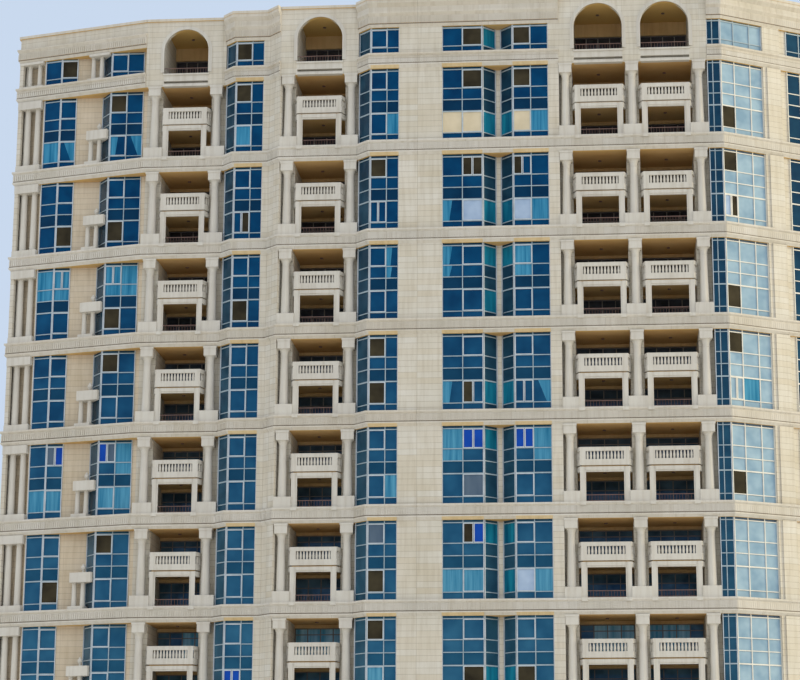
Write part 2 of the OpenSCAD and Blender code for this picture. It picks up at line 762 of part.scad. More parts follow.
kerb_drop = 85;
groove_z = deck_z - kerb_drop;
frame_top = groove_z - groove;
baluster_h = rail_z - rail_h - base_z;
module balcony_decks() {
    color(stone)
        each_balcony() {
            p = balcony_path($pitch);
            translate([0, 0, deck_z - deck_t])
                linear_extrude(deck_t) {
                    polygon([for (i = [0 : len(p) - 1]) path_corner(p, i, frame_t)]);
                    translate([capital_half, recess + joint])
                        square([$pitch - 2 * capital_half, balcony_d - recess - joint]);
                }
        }
}
module balcony_frame_posts() {
    color(pale)
        each_balcony()
            for (right = [false, true])
                front_post(balcony_path($pitch), right, frame_w, 0, frame_top, frame_step);
}
module balcony_frame_heads() {
    color(pale)
        each_balcony() {
            p = balcony_path($pitch);
            translate([corner_u + frame_w, 0, frame_top])
                rotate([90, 0, 90])
                    linear_extrude($pitch - 2 * (corner_u + frame_w))
                        polygon([[0, 0], [0, frame_step - head_h], [frame_step / 2, frame_step - head_h],
                            [frame_step / 2, -head_h], [frame_t, -head_h], [frame_t, 0]]);
            for (i = [1, 3])
                edge_piece(p, i, 0, frame_t, frame_top - head_h, head_h);
        }
}
module balustrade_bases() {
    color(pale)
        each_balcony()
            for (i = [0 : 4])
                edge_piece(balcony_path($pitch), i, 0, frame_t, groove_z, deck_z + base_z - groove_z);
}
module balustrade_rails() {
    color(pale)
        each_balcony()
            for (i = [0 : 4])
                edge_piece(balcony_path($pitch), i, -joint, frame_t, deck_z + rail_z - rail_h, rail_h);
}
module balustrade_posts() {
    color(pale)
        each_balcony() {
            p = balcony_path($pitch);
            for (right = [false, true])
                front_post(p, right, frame_w, deck_z + base_z, baluster_h);
            for (i = [0, 4])
                edge_piece(p, i, 0, frame_t, deck_z + base_z, baluster_h);
        }
}
module baluster() {
    belly = baluster_h * 0.4;
    translate([0, 0, deck_z + base_z]) {
        cylinder(h = belly, r1 = baluster_r * 0.75, r2 = baluster_r, $fn = 24);
        translate([0, 0, belly])
            cylinder(h = baluster_h - belly, r1 = baluster_r, r2 = baluster_r * 0.55, $fn = 24);
    }
}
module balusters() {
    color(pale)
        each_balcony() {
            p = balcony_path($pitch);
            start = corner_u + frame_w;
            spacing = ($pitch - 2 * start) / balusters_n;
            for (b = [0 : balusters_n - 1])
                translate([start + (b + 0.5) * spacing, frame_t / 2, 0])
                    baluster();
            for (i = [1, 3])
                translate((path_corner(p, i, frame_t / 2) + path_corner(p, i + 1, frame_t / 2)) / 2)
                    baluster();
        }
}

// Columns of the stacks
inner_u = corner_u - (corner_u - side_u) * recess / slant_d;
module each_stack_column() {
    for (k = [0 : bands - 1], s = stacks, c = [0 : s[5]])
        translate([0, 0, belt_z(k)])
            on_run(s[0])
                translate([column_u(s, c), column_set, 0]) {
                    $left = c == 0 ? column_u(s, c) - s[1] - joint : corner_u;
                    $right = c == s[5] ? s[2] - column_u(s, c) - joint : corner_u;
                    $left_inner = c == 0 ? $left : inner_u;
                    $right_inner = c == s[5] ? $right : inner_u;
                    children();
                }
}

// Left wing: two tall columns and a slender corner column under one block, and two short ones
// under a block with an urn. In the attic all of them stand between the belt and the frieze.
tall_columns = [345, 765];
tall_r = 125;
corner_column = 175;
corner_column_d = 300;
corner_r = 75;
tall_foot = 225;
tall_head = 300;
tall_block = [20, 1010];
short_columns = [3044, 3390];
short_r = 92;
short_foot = 110;
short_top = 950;
short_block_h = 350;
short_block = [2964, 3801];
tall_feet = [20, 1020];
short_feet = [2914, 3520];
attic_r = 90;
attic_foot = 60;
attic_head = 90;
taper = 0.82;

// A shaft with a ring at its neck
ring_out = 15;
module shaft(h, r1, r2) {
    cylinder(h = h, r1 = r1, r2 = r2);
    translate([0, 0, h - ring_h])
        cylinder(h = ring_h, r = r2 + ring_out);
}
module wing_column(u, d, r, foot, top) {
    on_run(LEFT_WING)
        translate([u, d, foot])
            shaft(top - foot, r, r * taper);
}
module column_shafts() {
    $fn = 48;
    color(pale) {
        each_stack_column()
            translate([0, 0, pedestal_h])
                shaft(clear_h - pedestal_h - bell_h - capital_h, shaft_r1, shaft_r2);
        for (k = [0 : bands - 1])
            translate([0, 0, belt_z(k)]) {
                for (u = tall_columns)
                    wing_column(u, column_set, tall_r, tall_foot, clear_h - tall_head);
                wing_column(corner_column, corner_column_d, corner_r, tall_foot, clear_h - tall_head);
                for (u = short_columns)
                    wing_column(u, column_set, short_r, short_foot, short_top);
            }
        translate([0, 0, top_belt_z]) {
            for (u = concat(tall_columns, short_columns))
                wing_column(u, column_set, attic_r, attic_foot, attic_window_h - attic_head);
            wing_column(corner_column, corner_column_d, corner_r, attic_foot, attic_window_h - attic_head);
        }
    }
}
// The bell widens in a hollow quarter curve
bell_top_r = capital_half * 0.9;
bell_curve = [for (a = [0 : 22.5 : 90]) [bell_top_r - (bell_top_r - shaft_r2) * cos(a), bell_h * sin(a)]];
module column_bells() {
    color(pale)
        each_stack_column()
            translate([0, 0, clear_h - capital_h - bell_h])
                rotate_extrude($fn = 48)
                    polygon(concat([[0, 0]], bell_curve, [[0, bell_h]]));
}
// Blocks over and under the wing's columns, from the capitals' front to the wall behind them: the
// tall pair's pass in front of the end pier, and the short pair's stay clear of the slanted pane
pane_gap = 50;
module wing_block(ends, z, h) {
    after_pier = wing_u(0) + joint;
    run_prism(LEFT_WING, ends[0] < after_pier
        ? [[ends[0], capital_front], [ends[1], capital_front], [ends[1], recess - joint],
            [after_pier, recess - joint], [after_pier, -joint], [ends[0], -joint]]
        : [[ends[0], capital_front], [ends[1], capital_front], [ends[1], pane_d(ends[1]) - pane_gap],
            [fold_end_u - pane_gap, fold_d(fold_end_u - pane_gap) - joint],
            [ends[0], fold_d(ends[0]) - joint]], z, h);
}
abacus_h = 70;
abacus_out = 18;
module capitals() {
    color(pale) {
        each_stack_column()
            translate([0, capital_front - column_set, clear_h - capital_h]) {
                block_half = capital_half - abacus_out;
                block_depth = recess - capital_front - joint;
                translate([-block_half, abacus_out, 0])
                    cube([2 * block_half, block_depth - abacus_out, capital_h]);
                translate([-capital_half, 0, capital_h - abacus_h])
                    cube([2 * capital_half, block_depth, abacus_h]);
            }
        for (k = [0 : bands - 1]) {
            wing_block(tall_block, belt_z(k) + clear_h - tall_head, tall_head);
            wing_block(short_block, belt_z(k) + short_top, short_block_h);
        }
        for (ends = [tall_block, short_block])
            wing_block(ends, top_belt_z + attic_window_h - attic_head, attic_head);
    }
}
module pedestals() {
    color(pale) {
        each_stack_column()
            linear_extrude(pedestal_h)
                polygon([[-$left, capital_front - column_set], [$right, capital_front - column_set],
                    [$right, -column_set], [$right_inner, recess - joint - column_set],
                    [-$left_inner, recess - joint - column_set], [-$left, -column_set]]);
        for (k = [0 : bands - 1]) {
            wing_block(tall_feet, belt_z(k), tall_foot);
            wing_block(short_feet, belt_z(k), short_foot);
        }
        for (ends = [tall_feet, short_feet])
            wing_block(ends, top_belt_z, attic_foot);
    }
}
// Urns on the short blocks
urn_h = 330;
urn_r = 95;
module urns() {
    profile = [[0.55, 0], [0.55, 0.1], [0.25, 0.2], [0.85, 0.45], [1, 0.62], [0.8, 0.74], [0.45, 0.8],
        [0.5, 0.88], [0.2, 1], [0, 1], [0, 0]];
    color(pale)
        for (k = [0 : bands - 1])
            translate([0, 0, belt_z(k) + short_top + short_block_h])
                on_run(LEFT_WING)
                    translate([(short_block[0] + short_block[1]) / 2, column_set, 0])
                        rotate_extrude($fn = 32)
                            polygon([for (p = profile) [p[0] * urn_r, p[1] * urn_h]]);
}

// Attic
attic_walls = concat(
    front_walls, [[LEFT_WING, 0, left_end_recess[0]]],
    plain_walls(RIGHT_SIDE), plain_walls(BACK), plain_walls(LEFT_SIDE));
attic_windows = concat(
    front_windows, right_windows,
    plain_windows(RIGHT_SIDE), plain_windows(BACK), plain_windows(LEFT_SIDE));
module attic_piers() {
    color(stone) {
        for (w = attic_walls)
            strip(w[0], w[1], w[2], 0, wall_t, top_belt_z, attic_window_h);
        notch_post(top_belt_z, attic_window_h);
        strip(RIGHT_WING, pilaster[1] + joint, right_window_2, glass_set, wall_t, top_belt_z,
            attic_window_h);
        for (s = stacks, c = [0 : s[5]]) {
            u = column_u(s, c);
            u0 = c == 0 ? s[1] + joint : u - jamb_u;
            u1 = c == s[5] ? s[2] - joint : u + jamb_u;
            strip(s[0], u0, u1, wall_t + joint, balcony_d, top_belt_z - floor_drop, loggia_h);
        }
    }
}
module glazing_attic() {
    color(blue) {
        for (w = attic_windows)
            strip(w[0], w[1], w[2], glass_set, glass_set + glass_t, top_belt_z, attic_window_h);
        left_wing_glass(top_belt_z, attic_window_h);
        notch_glass(top_belt_z, attic_window_h);
    }
}

// Panels with the arches of the loggias, from the top belt to the coping
coping_z = attic_h + parapet_h - coping_h;
module attic_arches() {
    color(stone)
        for (s = stacks)
            on_run(s[0])
                difference() {
                    translate([s[1] + joint, 0, top_belt_z - belt_h])
                        cube([s[2] - s[1] - 2 * joint, wall_t, coping_z + belt_h]);
                    for (c = [0 : s[5] - 1]) {
                        r = s[4] / 2 - jamb_u;
                        translate([column_u(s, c) + jamb_u, -1, top_belt_z - belt_h - 1])
                            cube([2 * r, wall_t + 2, belt_h + spring_h + 1]);
                        translate([column_u(s, c) + s[4] / 2, -1, top_belt_z + spring_h])
                            rotate([-90, 0, 0])
                                cylinder(h = wall_t + 2, r = r, $fn = 96);
                    }
                }
}
// Parapets of the loggias: a moulding under a panel, with a dark gap between them
panel_drop = 330;
panel_parapet_h = 280;
under_moulding_h = 130;
module loggia_parapets() {
    color(pale)
        for (s = stacks, c = [0 : s[5] - 1]) {
            u0 = column_u(s, c) + jamb_u;
            u1 = column_u(s, c + 1) - jamb_u;
            strip(s[0], u0, u1, 0, wall_t, top_belt_z - belt_h, under_moulding_h);
            strip(s[0], u0, u1, 0, wall_t, top_belt_z - panel_drop, panel_parapet_h);
        }
}

// Frieze over the attic windows. A heavy cornice with the coping on it crowns it, but the left
// wing and the left side have a small moulding, a plain parapet and a thin coping.
cornice_z = attic_window_h + attic_frieze_h;
parapet_z = cornice_z + moulding_h;
cornice_h = coping_z - cornice_z;
cornice_steps = [[0, 0], [0.18, 0.5], [0.32, 0.5], [0.32, 0.3], [0.58, 0.3], [0.8, 1], [1, 1]];
coping_out = 20;
plain_runs = [for (r = attic_runs) if (r[0] == LEFT_WING || r[0] == LEFT_SIDE) r];
rich_runs = [for (r = attic_runs) if (r[0] != LEFT_WING && r[0] != LEFT_SIDE) r];
panel_runs = [for (s = stacks) [s[0], max(s[1], 0) + joint, s[2] - joint]];
module attic_course(runs, z, h, out, profile) {
    for (r = runs)
        moulding(r[0], r[1], r[2], top_belt_z + z, h, out, profile);
}
module attic_wall() {
    color(stone)
        attic_course(attic_runs, attic_window_h, attic_frieze_h, frieze_out,
            [[0, 0], [2 * slope_h, frieze_out], [attic_frieze_h, frieze_out]]);
}
module cornice() {
    color(pale) {
        attic_course(rich_runs, cornice_z, cornice_h, cornice_out,
            [for (p = cornice_steps) [p[0] * cornice_h, frieze_out + p[1] * (cornice_out - frieze_out)]]);
        attic_course(plain_runs, cornice_z, moulding_h, sill_out,
            [[0, frieze_out], [2 * slope_h, sill_out], [moulding_h, sill_out]]);
    }
}
module parapet() {
    color(stone)
        for (r = plain_runs)
            strip(r[0], r[1], r[2], 0, wall_t, top_belt_z + parapet_z, coping_z - parapet_z);
}
module coping() {
    color(pale) {
        for (r = rich_runs)
            strip(r[0], r[1], r[2], -cornice_out - coping_out, wall_t, top_belt_z + coping_z, coping_h);
        for (r = concat(plain_runs, panel_runs))
            strip(r[0], r[1], r[2], -frieze_out, wall_t, top_belt_z + coping_z, coping_h);
    }
}

base_slab();
plinth();
ground_piers();
belt_floors();
middle_floors();
bay_floors();
roof_slab();
belt_sills();
belt_friezes();
belt_mouldings();
front_piers();
pilasters();
recess_walls();
side_piers();
back_piers();
glazing_left_wing();
glazing_front();
glazing_right_wing();
glazing_sides();
glazing_back();
balcony_piers();
balcony_lintels();
balcony_glazing();
balcony_soffits();
balcony_kerbs();
balcony_decks();
balcony_frame_posts();
balcony_frame_heads();
balustrade_bases();
balustrade_rails();
balustrade_posts();
balusters();
pedestals();
column_shafts();
column_bells();
capitals();
urns();
attic_piers();
attic_arches();
loggia_parapets();
glazing_attic();
attic_wall();
cornice();
parapet();
coping();
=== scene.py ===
"""Looks of the apartment block, a scale model at 1:2 with stone belts, balcony stacks and window bays.

All lengths are metres of the model. The front faces -Y and the block stands on the floor at z = 0.
"""
import math
import random

import bpy
import numpy as np
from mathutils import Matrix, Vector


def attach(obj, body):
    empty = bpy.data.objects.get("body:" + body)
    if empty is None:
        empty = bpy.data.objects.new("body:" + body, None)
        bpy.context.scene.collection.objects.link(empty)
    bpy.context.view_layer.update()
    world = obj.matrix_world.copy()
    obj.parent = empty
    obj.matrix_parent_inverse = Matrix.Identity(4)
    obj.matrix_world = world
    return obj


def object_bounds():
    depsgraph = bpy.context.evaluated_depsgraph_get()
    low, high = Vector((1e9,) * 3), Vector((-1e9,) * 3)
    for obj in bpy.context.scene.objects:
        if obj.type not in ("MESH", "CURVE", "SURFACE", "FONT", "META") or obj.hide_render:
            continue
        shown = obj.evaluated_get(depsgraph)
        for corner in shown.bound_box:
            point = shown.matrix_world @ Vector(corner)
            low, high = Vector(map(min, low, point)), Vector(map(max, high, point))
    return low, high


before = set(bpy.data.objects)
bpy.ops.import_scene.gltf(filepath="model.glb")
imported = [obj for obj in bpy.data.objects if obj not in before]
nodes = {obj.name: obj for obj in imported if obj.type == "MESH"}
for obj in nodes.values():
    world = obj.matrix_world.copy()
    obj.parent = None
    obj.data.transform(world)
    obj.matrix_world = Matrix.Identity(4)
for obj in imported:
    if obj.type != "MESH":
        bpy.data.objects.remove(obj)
cad_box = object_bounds()
block_middle = (np.array(cad_box[0]) + np.array(cad_box[1])) / 2
UP = np.array([0.0, 0.0, 1.0])

# Camera: low in front of the block's right half, tilted up at its upper storeys. Angles are in degrees,
# and the lens and its sensor in millimetres
CAMERA_AT = (6.56, -81.0, 3.28)
CAMERA_PITCH = 13.0
CAMERA_YAW = 4.28
CAMERA_LENS = 99.4
CAMERA_SENSOR = 36.0
CAMERA_SHIFT = (-0.055, 0.03)
CAMERA_REACH = 1000.0

camera_data = bpy.data.cameras.new("camera")
camera_data.lens = CAMERA_LENS
camera_data.sensor_width = CAMERA_SENSOR
camera_data.shift_x, camera_data.shift_y = CAMERA_SHIFT
camera_data.clip_end = CAMERA_REACH
camera = bpy.data.objects.new("camera", camera_data)
camera.location = CAMERA_AT
camera.rotation_euler = (math.radians(90 + CAMERA_PITCH), 0, math.radians(CAMERA_YAW))
bpy.context.scene.collection.objects.link(camera)
bpy.context.scene.camera = camera


# Helpers for materials

def colour(text):
    """Linear colour of an sRGB hex value such as "D9CBB0"."""
    parts = [int(text[i:i + 2], 16) / 255 for i in (0, 2, 4)]
    return tuple(c / 12.92 if c <= 0.04045 else ((c + 0.055) / 1.055) ** 2.4 for c in parts) + (1.0,)


def add(tree, kind, inputs=None, **settings):
    """A node with its settings, and its inputs set to values or linked to other nodes' sockets."""
    node = tree.nodes.new(kind)
    for name, value in settings.items():
        setattr(node, name, value)
    for name, value in (inputs or {}).items():
        if isinstance(value, bpy.types.NodeSocket):
            tree.links.new(value, node.inputs[name])
        else:
            node.inputs[name].default_value = value
    return node


def new_material(name):
    """A new material, its tree and its Principled shader."""
    made = bpy.data.materials.new(name)
    made.use_nodes = True
    tree = made.node_tree
    return made, tree, tree.nodes["Principled BSDF"]


def wall_place(tree):
    """The place, and coordinates on an upright surface from its normal: x along it and y up."""
    place = add(tree, "ShaderNodeTexCoord").outputs["Object"]
    normal = add(tree, "ShaderNodeNewGeometry").outputs["True Normal"]
    along = add(tree, "ShaderNodeVectorMath", {0: normal, 1: (0, 0, 1)}, operation="CROSS_PRODUCT")
    run = add(tree, "ShaderNodeVectorMath", {0: place, 1: along.outputs["Vector"]}, operation="DOT_PRODUCT")
    split = add(tree, "ShaderNodeSeparateXYZ", {"Vector": place})
    wall = add(tree, "ShaderNodeCombineXYZ", {"X": run.outputs["Value"], "Y": split.outputs["Z"]})
    return place, wall.outputs["Vector"]


def noise(tree, place, scale, detail=4.0, rough=0.55):
    settings = {"Vector": place, "Scale": scale, "Detail": detail, "Roughness": rough}
    return add(tree, "ShaderNodeTexNoise", settings).outputs["Fac"]


def ramp(tree, value, stops):
    """A colour ramp over a value: stops are [place, hex colour]."""
    node = add(tree, "ShaderNodeValToRGB", {"Fac": value})
    elements = node.color_ramp.elements
    while len(elements) < len(stops):
        elements.new(0.5)
    for element, (place, text) in zip(elements, stops):
        element.position = place
        element.color = colour(text)
    return node.outputs["Color"]


# Sockets of a Mix node that mixes colours
MIX_SHARE, MIX_FIRST, MIX_SECOND = 0, 6, 7
MIX_COLOUR = 2


def mixed(tree, share, first, second, blend="MIX"):
    """A share of the second colour laid over the first."""
    values = {MIX_SHARE: share, MIX_FIRST: first, MIX_SECOND: second}
    return add(tree, "ShaderNodeMix", values, data_type="RGBA", blend_type=blend).outputs[MIX_COLOUR]


# Upward part of the normal where an underside starts to count as looking down, and where it fully does
DOWN_START = -0.75
DOWN_FULL = -0.9


# Share of the ochre painted on undersides for the warm light bounced up onto them
def downward(tree):
    """How far a surface looks down: 0 on walls and slopes, 1 on ceilings and flat undersides."""
    normal = add(tree, "ShaderNodeNewGeometry").outputs["True Normal"]
    height = add(tree, "ShaderNodeSeparateXYZ", {"Vector": normal}).outputs["Z"]
    share = add(tree, "ShaderNodeMapRange", {"Value": height, "From Min": DOWN_START, "From Max": DOWN_FULL})
    return share.outputs["Result"]


# Patches of a tone in a metre of stone, how strongly its grain shows, and the depth of its relief
STONE_PATCHES = 0.9
GRAIN_SHARE = 0.1
RELIEF = 0.006
# Joints between blocks: their width, drawn as coarse as it needs to show, and how strongly upright joints
# and the long joints between courses show
JOINT_W = 0.006
UPRIGHT_JOINTS = 0.35
COURSE_JOINTS = 0.4
# Length of a course without upright joints
UNBROKEN = 400.0
# Rain streaks: their scale, how they are drawn out upwards, and how strongly they show
STREAK_SCALE = 1.4
STREAK_STRETCH = (5.0, 0.35, 1.0)
STREAK_SHARE = 0.3


def stone_blocks(tree, wall, size):
    """Blocks of stone with tight joints: their colour, and 1 on their joints."""
    blocks = add(tree, "ShaderNodeTexBrick", {
        "Vector": wall, "Color1": colour("FFFFFF"), "Color2": colour("F4EDE0"), "Mortar": colour("A89C82"),
        "Scale": 1.0, "Mortar Size": JOINT_W, "Mortar Smooth": 0.3, "Bias": 0.0,
        "Brick Width": size[0], "Row Height": size[1]}, offset=0.0, squash=1.0)
    return blocks.outputs["Color"], blocks.outputs["Fac"]


def stone_finish(name, tones, joints=None, grain=90.0, rough=0.85, streak="B3A283", under=None):
    """Stone with its grain, a soft change of tone and rain streaks.

    joints is (block length, course height), grain is how many grains a metre holds, streak is the colour of
    the rain streaks, and under is the ochre painted on its undersides, standing for warm light bounced up
    onto them.
    """
    made, tree, shader = new_material(name)
    place, wall = wall_place(tree)
    tone = ramp(tree, noise(tree, place, STONE_PATCHES, 3.0), [(0.3, tones[0]), (0.7, tones[1])])
    fine = noise(tree, place, grain, 5.0, 0.7)
    grains = ramp(tree, fine, [(0.35, "8A7C62"), (0.65, "FFFFFF")])
    tone = mixed(tree, GRAIN_SHARE, tone, grains, "MULTIPLY")
    stretched = add(tree, "ShaderNodeMapping", {"Vector": wall, "Scale": STREAK_STRETCH}).outputs["Vector"]
    rain = ramp(tree, noise(tree, stretched, STREAK_SCALE, 4.0, 0.6), [(0.45, "000000"), (0.8, "FFFFFF")])
    share = add(tree, "ShaderNodeMath", {0: rain, 1: STREAK_SHARE}, operation="MULTIPLY").outputs["Value"]
    tone = mixed(tree, share, tone, colour(streak), "MULTIPLY")
    height = fine
    if joints:
        course = (UNBROKEN, joints[1])
        for size, share in ((joints, UPRIGHT_JOINTS), (course, COURSE_JOINTS)):
            block_tone, joint = stone_blocks(tree, wall, size)
            tone = mixed(tree, share, tone, block_tone, "MULTIPLY")
            cut = add(tree, "ShaderNodeMath", {0: height, 1: joint}, operation="SUBTRACT")
            height = cut.outputs["Value"]
    # Painted light: undersides turn ochre for the warm light bounced up onto them
    if under:
        tone = mixed(tree, downward(tree), tone, colour(under))
    bump = add(tree, "ShaderNodeBump", {"Strength": 0.3, "Distance": RELIEF, "Height": height})
    tree.links.new(tone, shader.inputs["Base Color"])
    tree.links.new(bump.outputs["Normal"], shader.inputs["Normal"])
    shader.inputs["Roughness"].default_value = rough
    shader.inputs["Specular IOR Level"].default_value = 0.3
    return made


# Finishes of the stone and the plaster

# Ochre of ceilings and undersides: painted warm light, bounced up from the ground onto cream stone and paint
BOUNCE_OCHRE = "D4AF6C"
# Length of a block and height of its course in the walls, and in the belts, which are one course high and
# so have no joint along them
WALL_BLOCK = (0.92, 0.21)
BELT_BLOCK = (1.1, 8.0)
# Cut limestone cladding, sawn and honed: matt, pale beige, in courses of 210 mm with tight darker joints
# Its flat undersides are ochre: painted warm light bounced up from the ground
cut_limestone = stone_finish("cut_limestone", ("D2CEC3", "DCD9D1"), joints=WALL_BLOCK, under=BOUNCE_OCHRE)
# The same cladding in the recesses of the left wing, warmer in tone: painted warm light bounced into the
# recesses
recess_limestone_warm_lit = stone_finish("recess_limestone_warm_lit", ("CFC3AF", "DACEBC"), joints=WALL_BLOCK, under=BOUNCE_OCHRE)
# Limestone of the belts, cut in long pieces: a little greyer, with a joint every 1.1 m
belt_limestone = stone_finish("belt_limestone", ("D0CDC5", "DBD8D2"), joints=BELT_BLOCK)
# The same stone where it hangs over: its flat undersides are ochre, painted warm light bounced up from the
# ground
moulding_limestone = stone_finish("moulding_limestone", ("D0CDC5", "DBD8D2"), joints=BELT_BLOCK, under=BOUNCE_OCHRE)
# Cast stone of the columns and balustrades, from a fine mould: smooth and pale, with a fine grain
cast_stone = stone_finish("cast_stone", ("CDC9C1", "D8D5CD"), grain=120.0, rough=0.75)
# Painted plaster of the balconies' ceilings, with a trowelled surface: its ochre is painted warm light,
# bounced up from the ground onto a cream coat
ochre_lit_plaster = stone_finish("ochre_lit_plaster", ("CEA66C", "D9B680"), grain=40.0, rough=0.9, streak="B08C60")
# Ochre over the windows' heads: painted warm light bounced up under the belts
ochre_underside_glow = stone_finish("ochre_underside_glow", ("D6BE92", "DFCBA4"), grain=60.0, rough=0.9)
# Dark strip in the joint under each frieze: painted shadow of a groove
groove_shadow = stone_finish("painted_groove_shadow", ("7E7468", "8C8274"), grain=60.0, rough=0.8)
# Plaster at the backs of the balconies: pale ochre
pale_plaster = stone_finish("pale_ochre_plaster", ("CDA976", "D9BB8A"), grain=40.0, rough=0.9,
                            streak="B08C60")
# Structural concrete of the floors, floated: grey and blotchy
floated_concrete = stone_finish("floated_concrete", ("8C877C", "A29C90"), grain=30.0, rough=0.9,
                                streak="7F796E")
# The same concrete on the roof, plastered underneath over the loggias, where its ochre undersides are painted
# warm light bounced up from the ground
roof_concrete = stone_finish("roof_concrete", ("8C877C", "A29C90"), grain=30.0, rough=0.9, streak="7F796E",
                             under=BOUNCE_OCHRE)


# Finishes of the glass, and of what stands in its place

# Heights between which the glass turns from its lower tones, a painted reflection of the bright horizon, to
# its upper ones
GLASS_LOW = 9.0
GLASS_HIGH = 25.0


def float_glass(name, tones, scale, rough=0.06, folds=None, tint="5C9CE0", level=0.5, lower=None):
    """Body-tinted float glass before dark rooms: deep colour, clear reflections with a tint of their own.

    scale is how many patches of a tone a metre holds, folds is how many curtain folds it holds behind the
    glass, tint and level are the colour and strength of its reflections, and lower has the paler tones of
    low storeys: a painted reflection of the bright horizon, which low glass takes more of.
    """
    made, tree, shader = new_material(name)
    place, wall = wall_place(tree)
    if folds:
        wall = add(tree, "ShaderNodeMapping", {"Vector": wall, "Scale": (folds, 0.4, 1.0)}).outputs["Vector"]
    patches = noise(tree, wall, scale, 2.0)
    tone = ramp(tree, patches, [(0.3, tones[0]), (0.7, tones[1])])
    # Painted reflection: paler towards the ground, which takes more of the bright horizon
    if lower:
        height = add(tree, "ShaderNodeSeparateXYZ", {"Vector": place}).outputs["Z"]
        heights = {"Value": height, "From Min": GLASS_LOW, "From Max": GLASS_HIGH}
        rise = add(tree, "ShaderNodeMapRange", heights)
        low_tone = ramp(tree, patches, [(0.3, lower[0]), (0.7, lower[1])])
        tone = mixed(tree, rise.outputs["Result"], low_tone, tone)
    tree.links.new(tone, shader.inputs["Base Color"])
    waviness = noise(tree, place, 1.2, 1.0)
    waves = add(tree, "ShaderNodeBump", {"Strength": 0.05, "Distance": 0.02, "Height": waviness})
    tree.links.new(waves.outputs["Normal"], shader.inputs["Normal"])
    shader.inputs["Roughness"].default_value = rough
    shader.inputs["IOR"].default_value = 1.52
    shader.inputs["Specular IOR Level"].default_value = level
    shader.inputs["Specular Tint"].default_value = colour(tint)
    return made


def powder_coat(name, tone, worn):
    """Powder-coated metal: an even satin coat with a faint orange peel and dust in places."""
    made, tree, shader = new_material(name)
    place = add(tree, "ShaderNodeTexCoord").outputs["Object"]
    dust = ramp(tree, noise(tree, place, 2.5), [(0.3, worn), (0.6, tone)])
    tree.links.new(dust, shader.inputs["Base Color"])
    orange_peel = noise(tree, place, 300.0)
    peel = add(tree, "ShaderNodeBump", {"Strength": 0.08, "Distance": 0.002, "Height": orange_peel})
    tree.links.new(peel.outputs["Normal"], shader.inputs["Normal"])
    shader.inputs["Roughness"].default_value = 0.4
    return made


# Blue float glass of the windows: deep and glossy, paler low down with a painted reflection of the horizon
blue_glass = float_glass("blue_float_glass", ("022E52", "06466E"), 1.1, lower=("225270", "366A86"))
# Enamelled glass of the spandrels: darker, with the concrete behind it
spandrel_glass = float_glass("enamelled_spandrel_glass", ("05263E", "0A3450"), 1.1,
                             lower=("1C4A64", "285A74"))
# Glass with a drawn curtain behind it: lighter, turned to teal, in soft upright folds
curtain_glass = float_glass("curtained_float_glass", ("1C6A90", "4A96BA"), 1.0, 0.12, folds=9.0,
                            lower=("3A7E9E", "6AA8C2"))
# Open light: the dark room behind it, matt where no glass is in the way
dark_room = float_glass("dark_room", ("2B271E", "453F30"), 1.5, 0.8, tint="FFFFFF", level=0.1)
# Pale film behind the glass: milky, with dull reflections
pale_panel = float_glass("pale_film_glass", ("98AECB", "AFC2DA"), 2.0, 0.25)
# Board set in place of a pane, painted as the stone: matt
painted_board = float_glass("painted_board", ("CFC2A6", "DCCFB4"), 2.0, 0.7, tint="FFFFFF", level=0.2)
# Cobalt film on a sash: strong blue, a little dull
cobalt_film = float_glass("cobalt_film_glass", ("1440A0", "1C4DB4"), 1.5, 0.15)
# Grey blind behind the glass: dim, in upright slats; on the right wing's head lights it stands for painted
# shade under the belts
grey_blind = float_glass("grey_blind_glass", ("4A5A6A", "5F6E7C"), 1.0, 0.2, folds=3.0)
# Slanted panes that look at shaded stone, and the head lights: dull blue, a painted reflection of the shaded
# stone and painted shade under the belts
slate_glass = float_glass("shaded_float_glass", ("152F42", "204458"), 1.3, 0.1, lower=("24485C", "315C72"))
# Slanted panes that face the light: deep teal
teal_glass = float_glass("teal_float_glass", ("0F5472", "1F86A0"), 1.0, 0.1, folds=4.0)
# Glass of the balconies' doors, deep in the shade
door_glass = float_glass("balcony_door_glass", ("2E2A2A", "48444A"), 1.4, 0.12, lower=("2E4A5C", "6088A0"))
# The same doors with a drawn curtain: pale blue in soft folds
curtained_door = float_glass("curtained_door_glass", ("4E96B6", "A0D0E2"), 1.0, 0.12, folds=6.0)
# Glass of the right wing, coated on its outside: its pale grey is a painted reflection of the bright sky
silvered_glass = float_glass("silvered_float_glass", ("7F9DB4", "A0BACB"), 1.6, 0.1, tint="C2D6E6")
# The same glass over the spandrels
silvered_dark = float_glass("silvered_spandrel_glass", ("7795A8", "8BA5B6"), 1.6, 0.15, tint="C2D6E6")
# Pale frames round the windows and their sashes: satin, brighter than the bars
pale_coat = powder_coat("pale_powder_coated_aluminium", "C4CDD6", "AEB9C3")
# Grey bars between the panes: satin, dimmer than the frames
grey_coat = powder_coat("grey_powder_coated_aluminium", "A3B4BE", "8FA2AE")
# Cream bars of the right wing's windows, pale in the sun
cream_coat = powder_coat("cream_powder_coated_aluminium", "E2E0D8", "D0CFC8")
# Brown steel of the balconies' low rails and lamps
brown_coat = powder_coat("brown_powder_coated_steel", "74584E", "604840")
# Bronze bars of the balconies' doors: dull, deep in the shade
bronze_coat = powder_coat("bronze_powder_coated_aluminium", "7A736E", "686260")

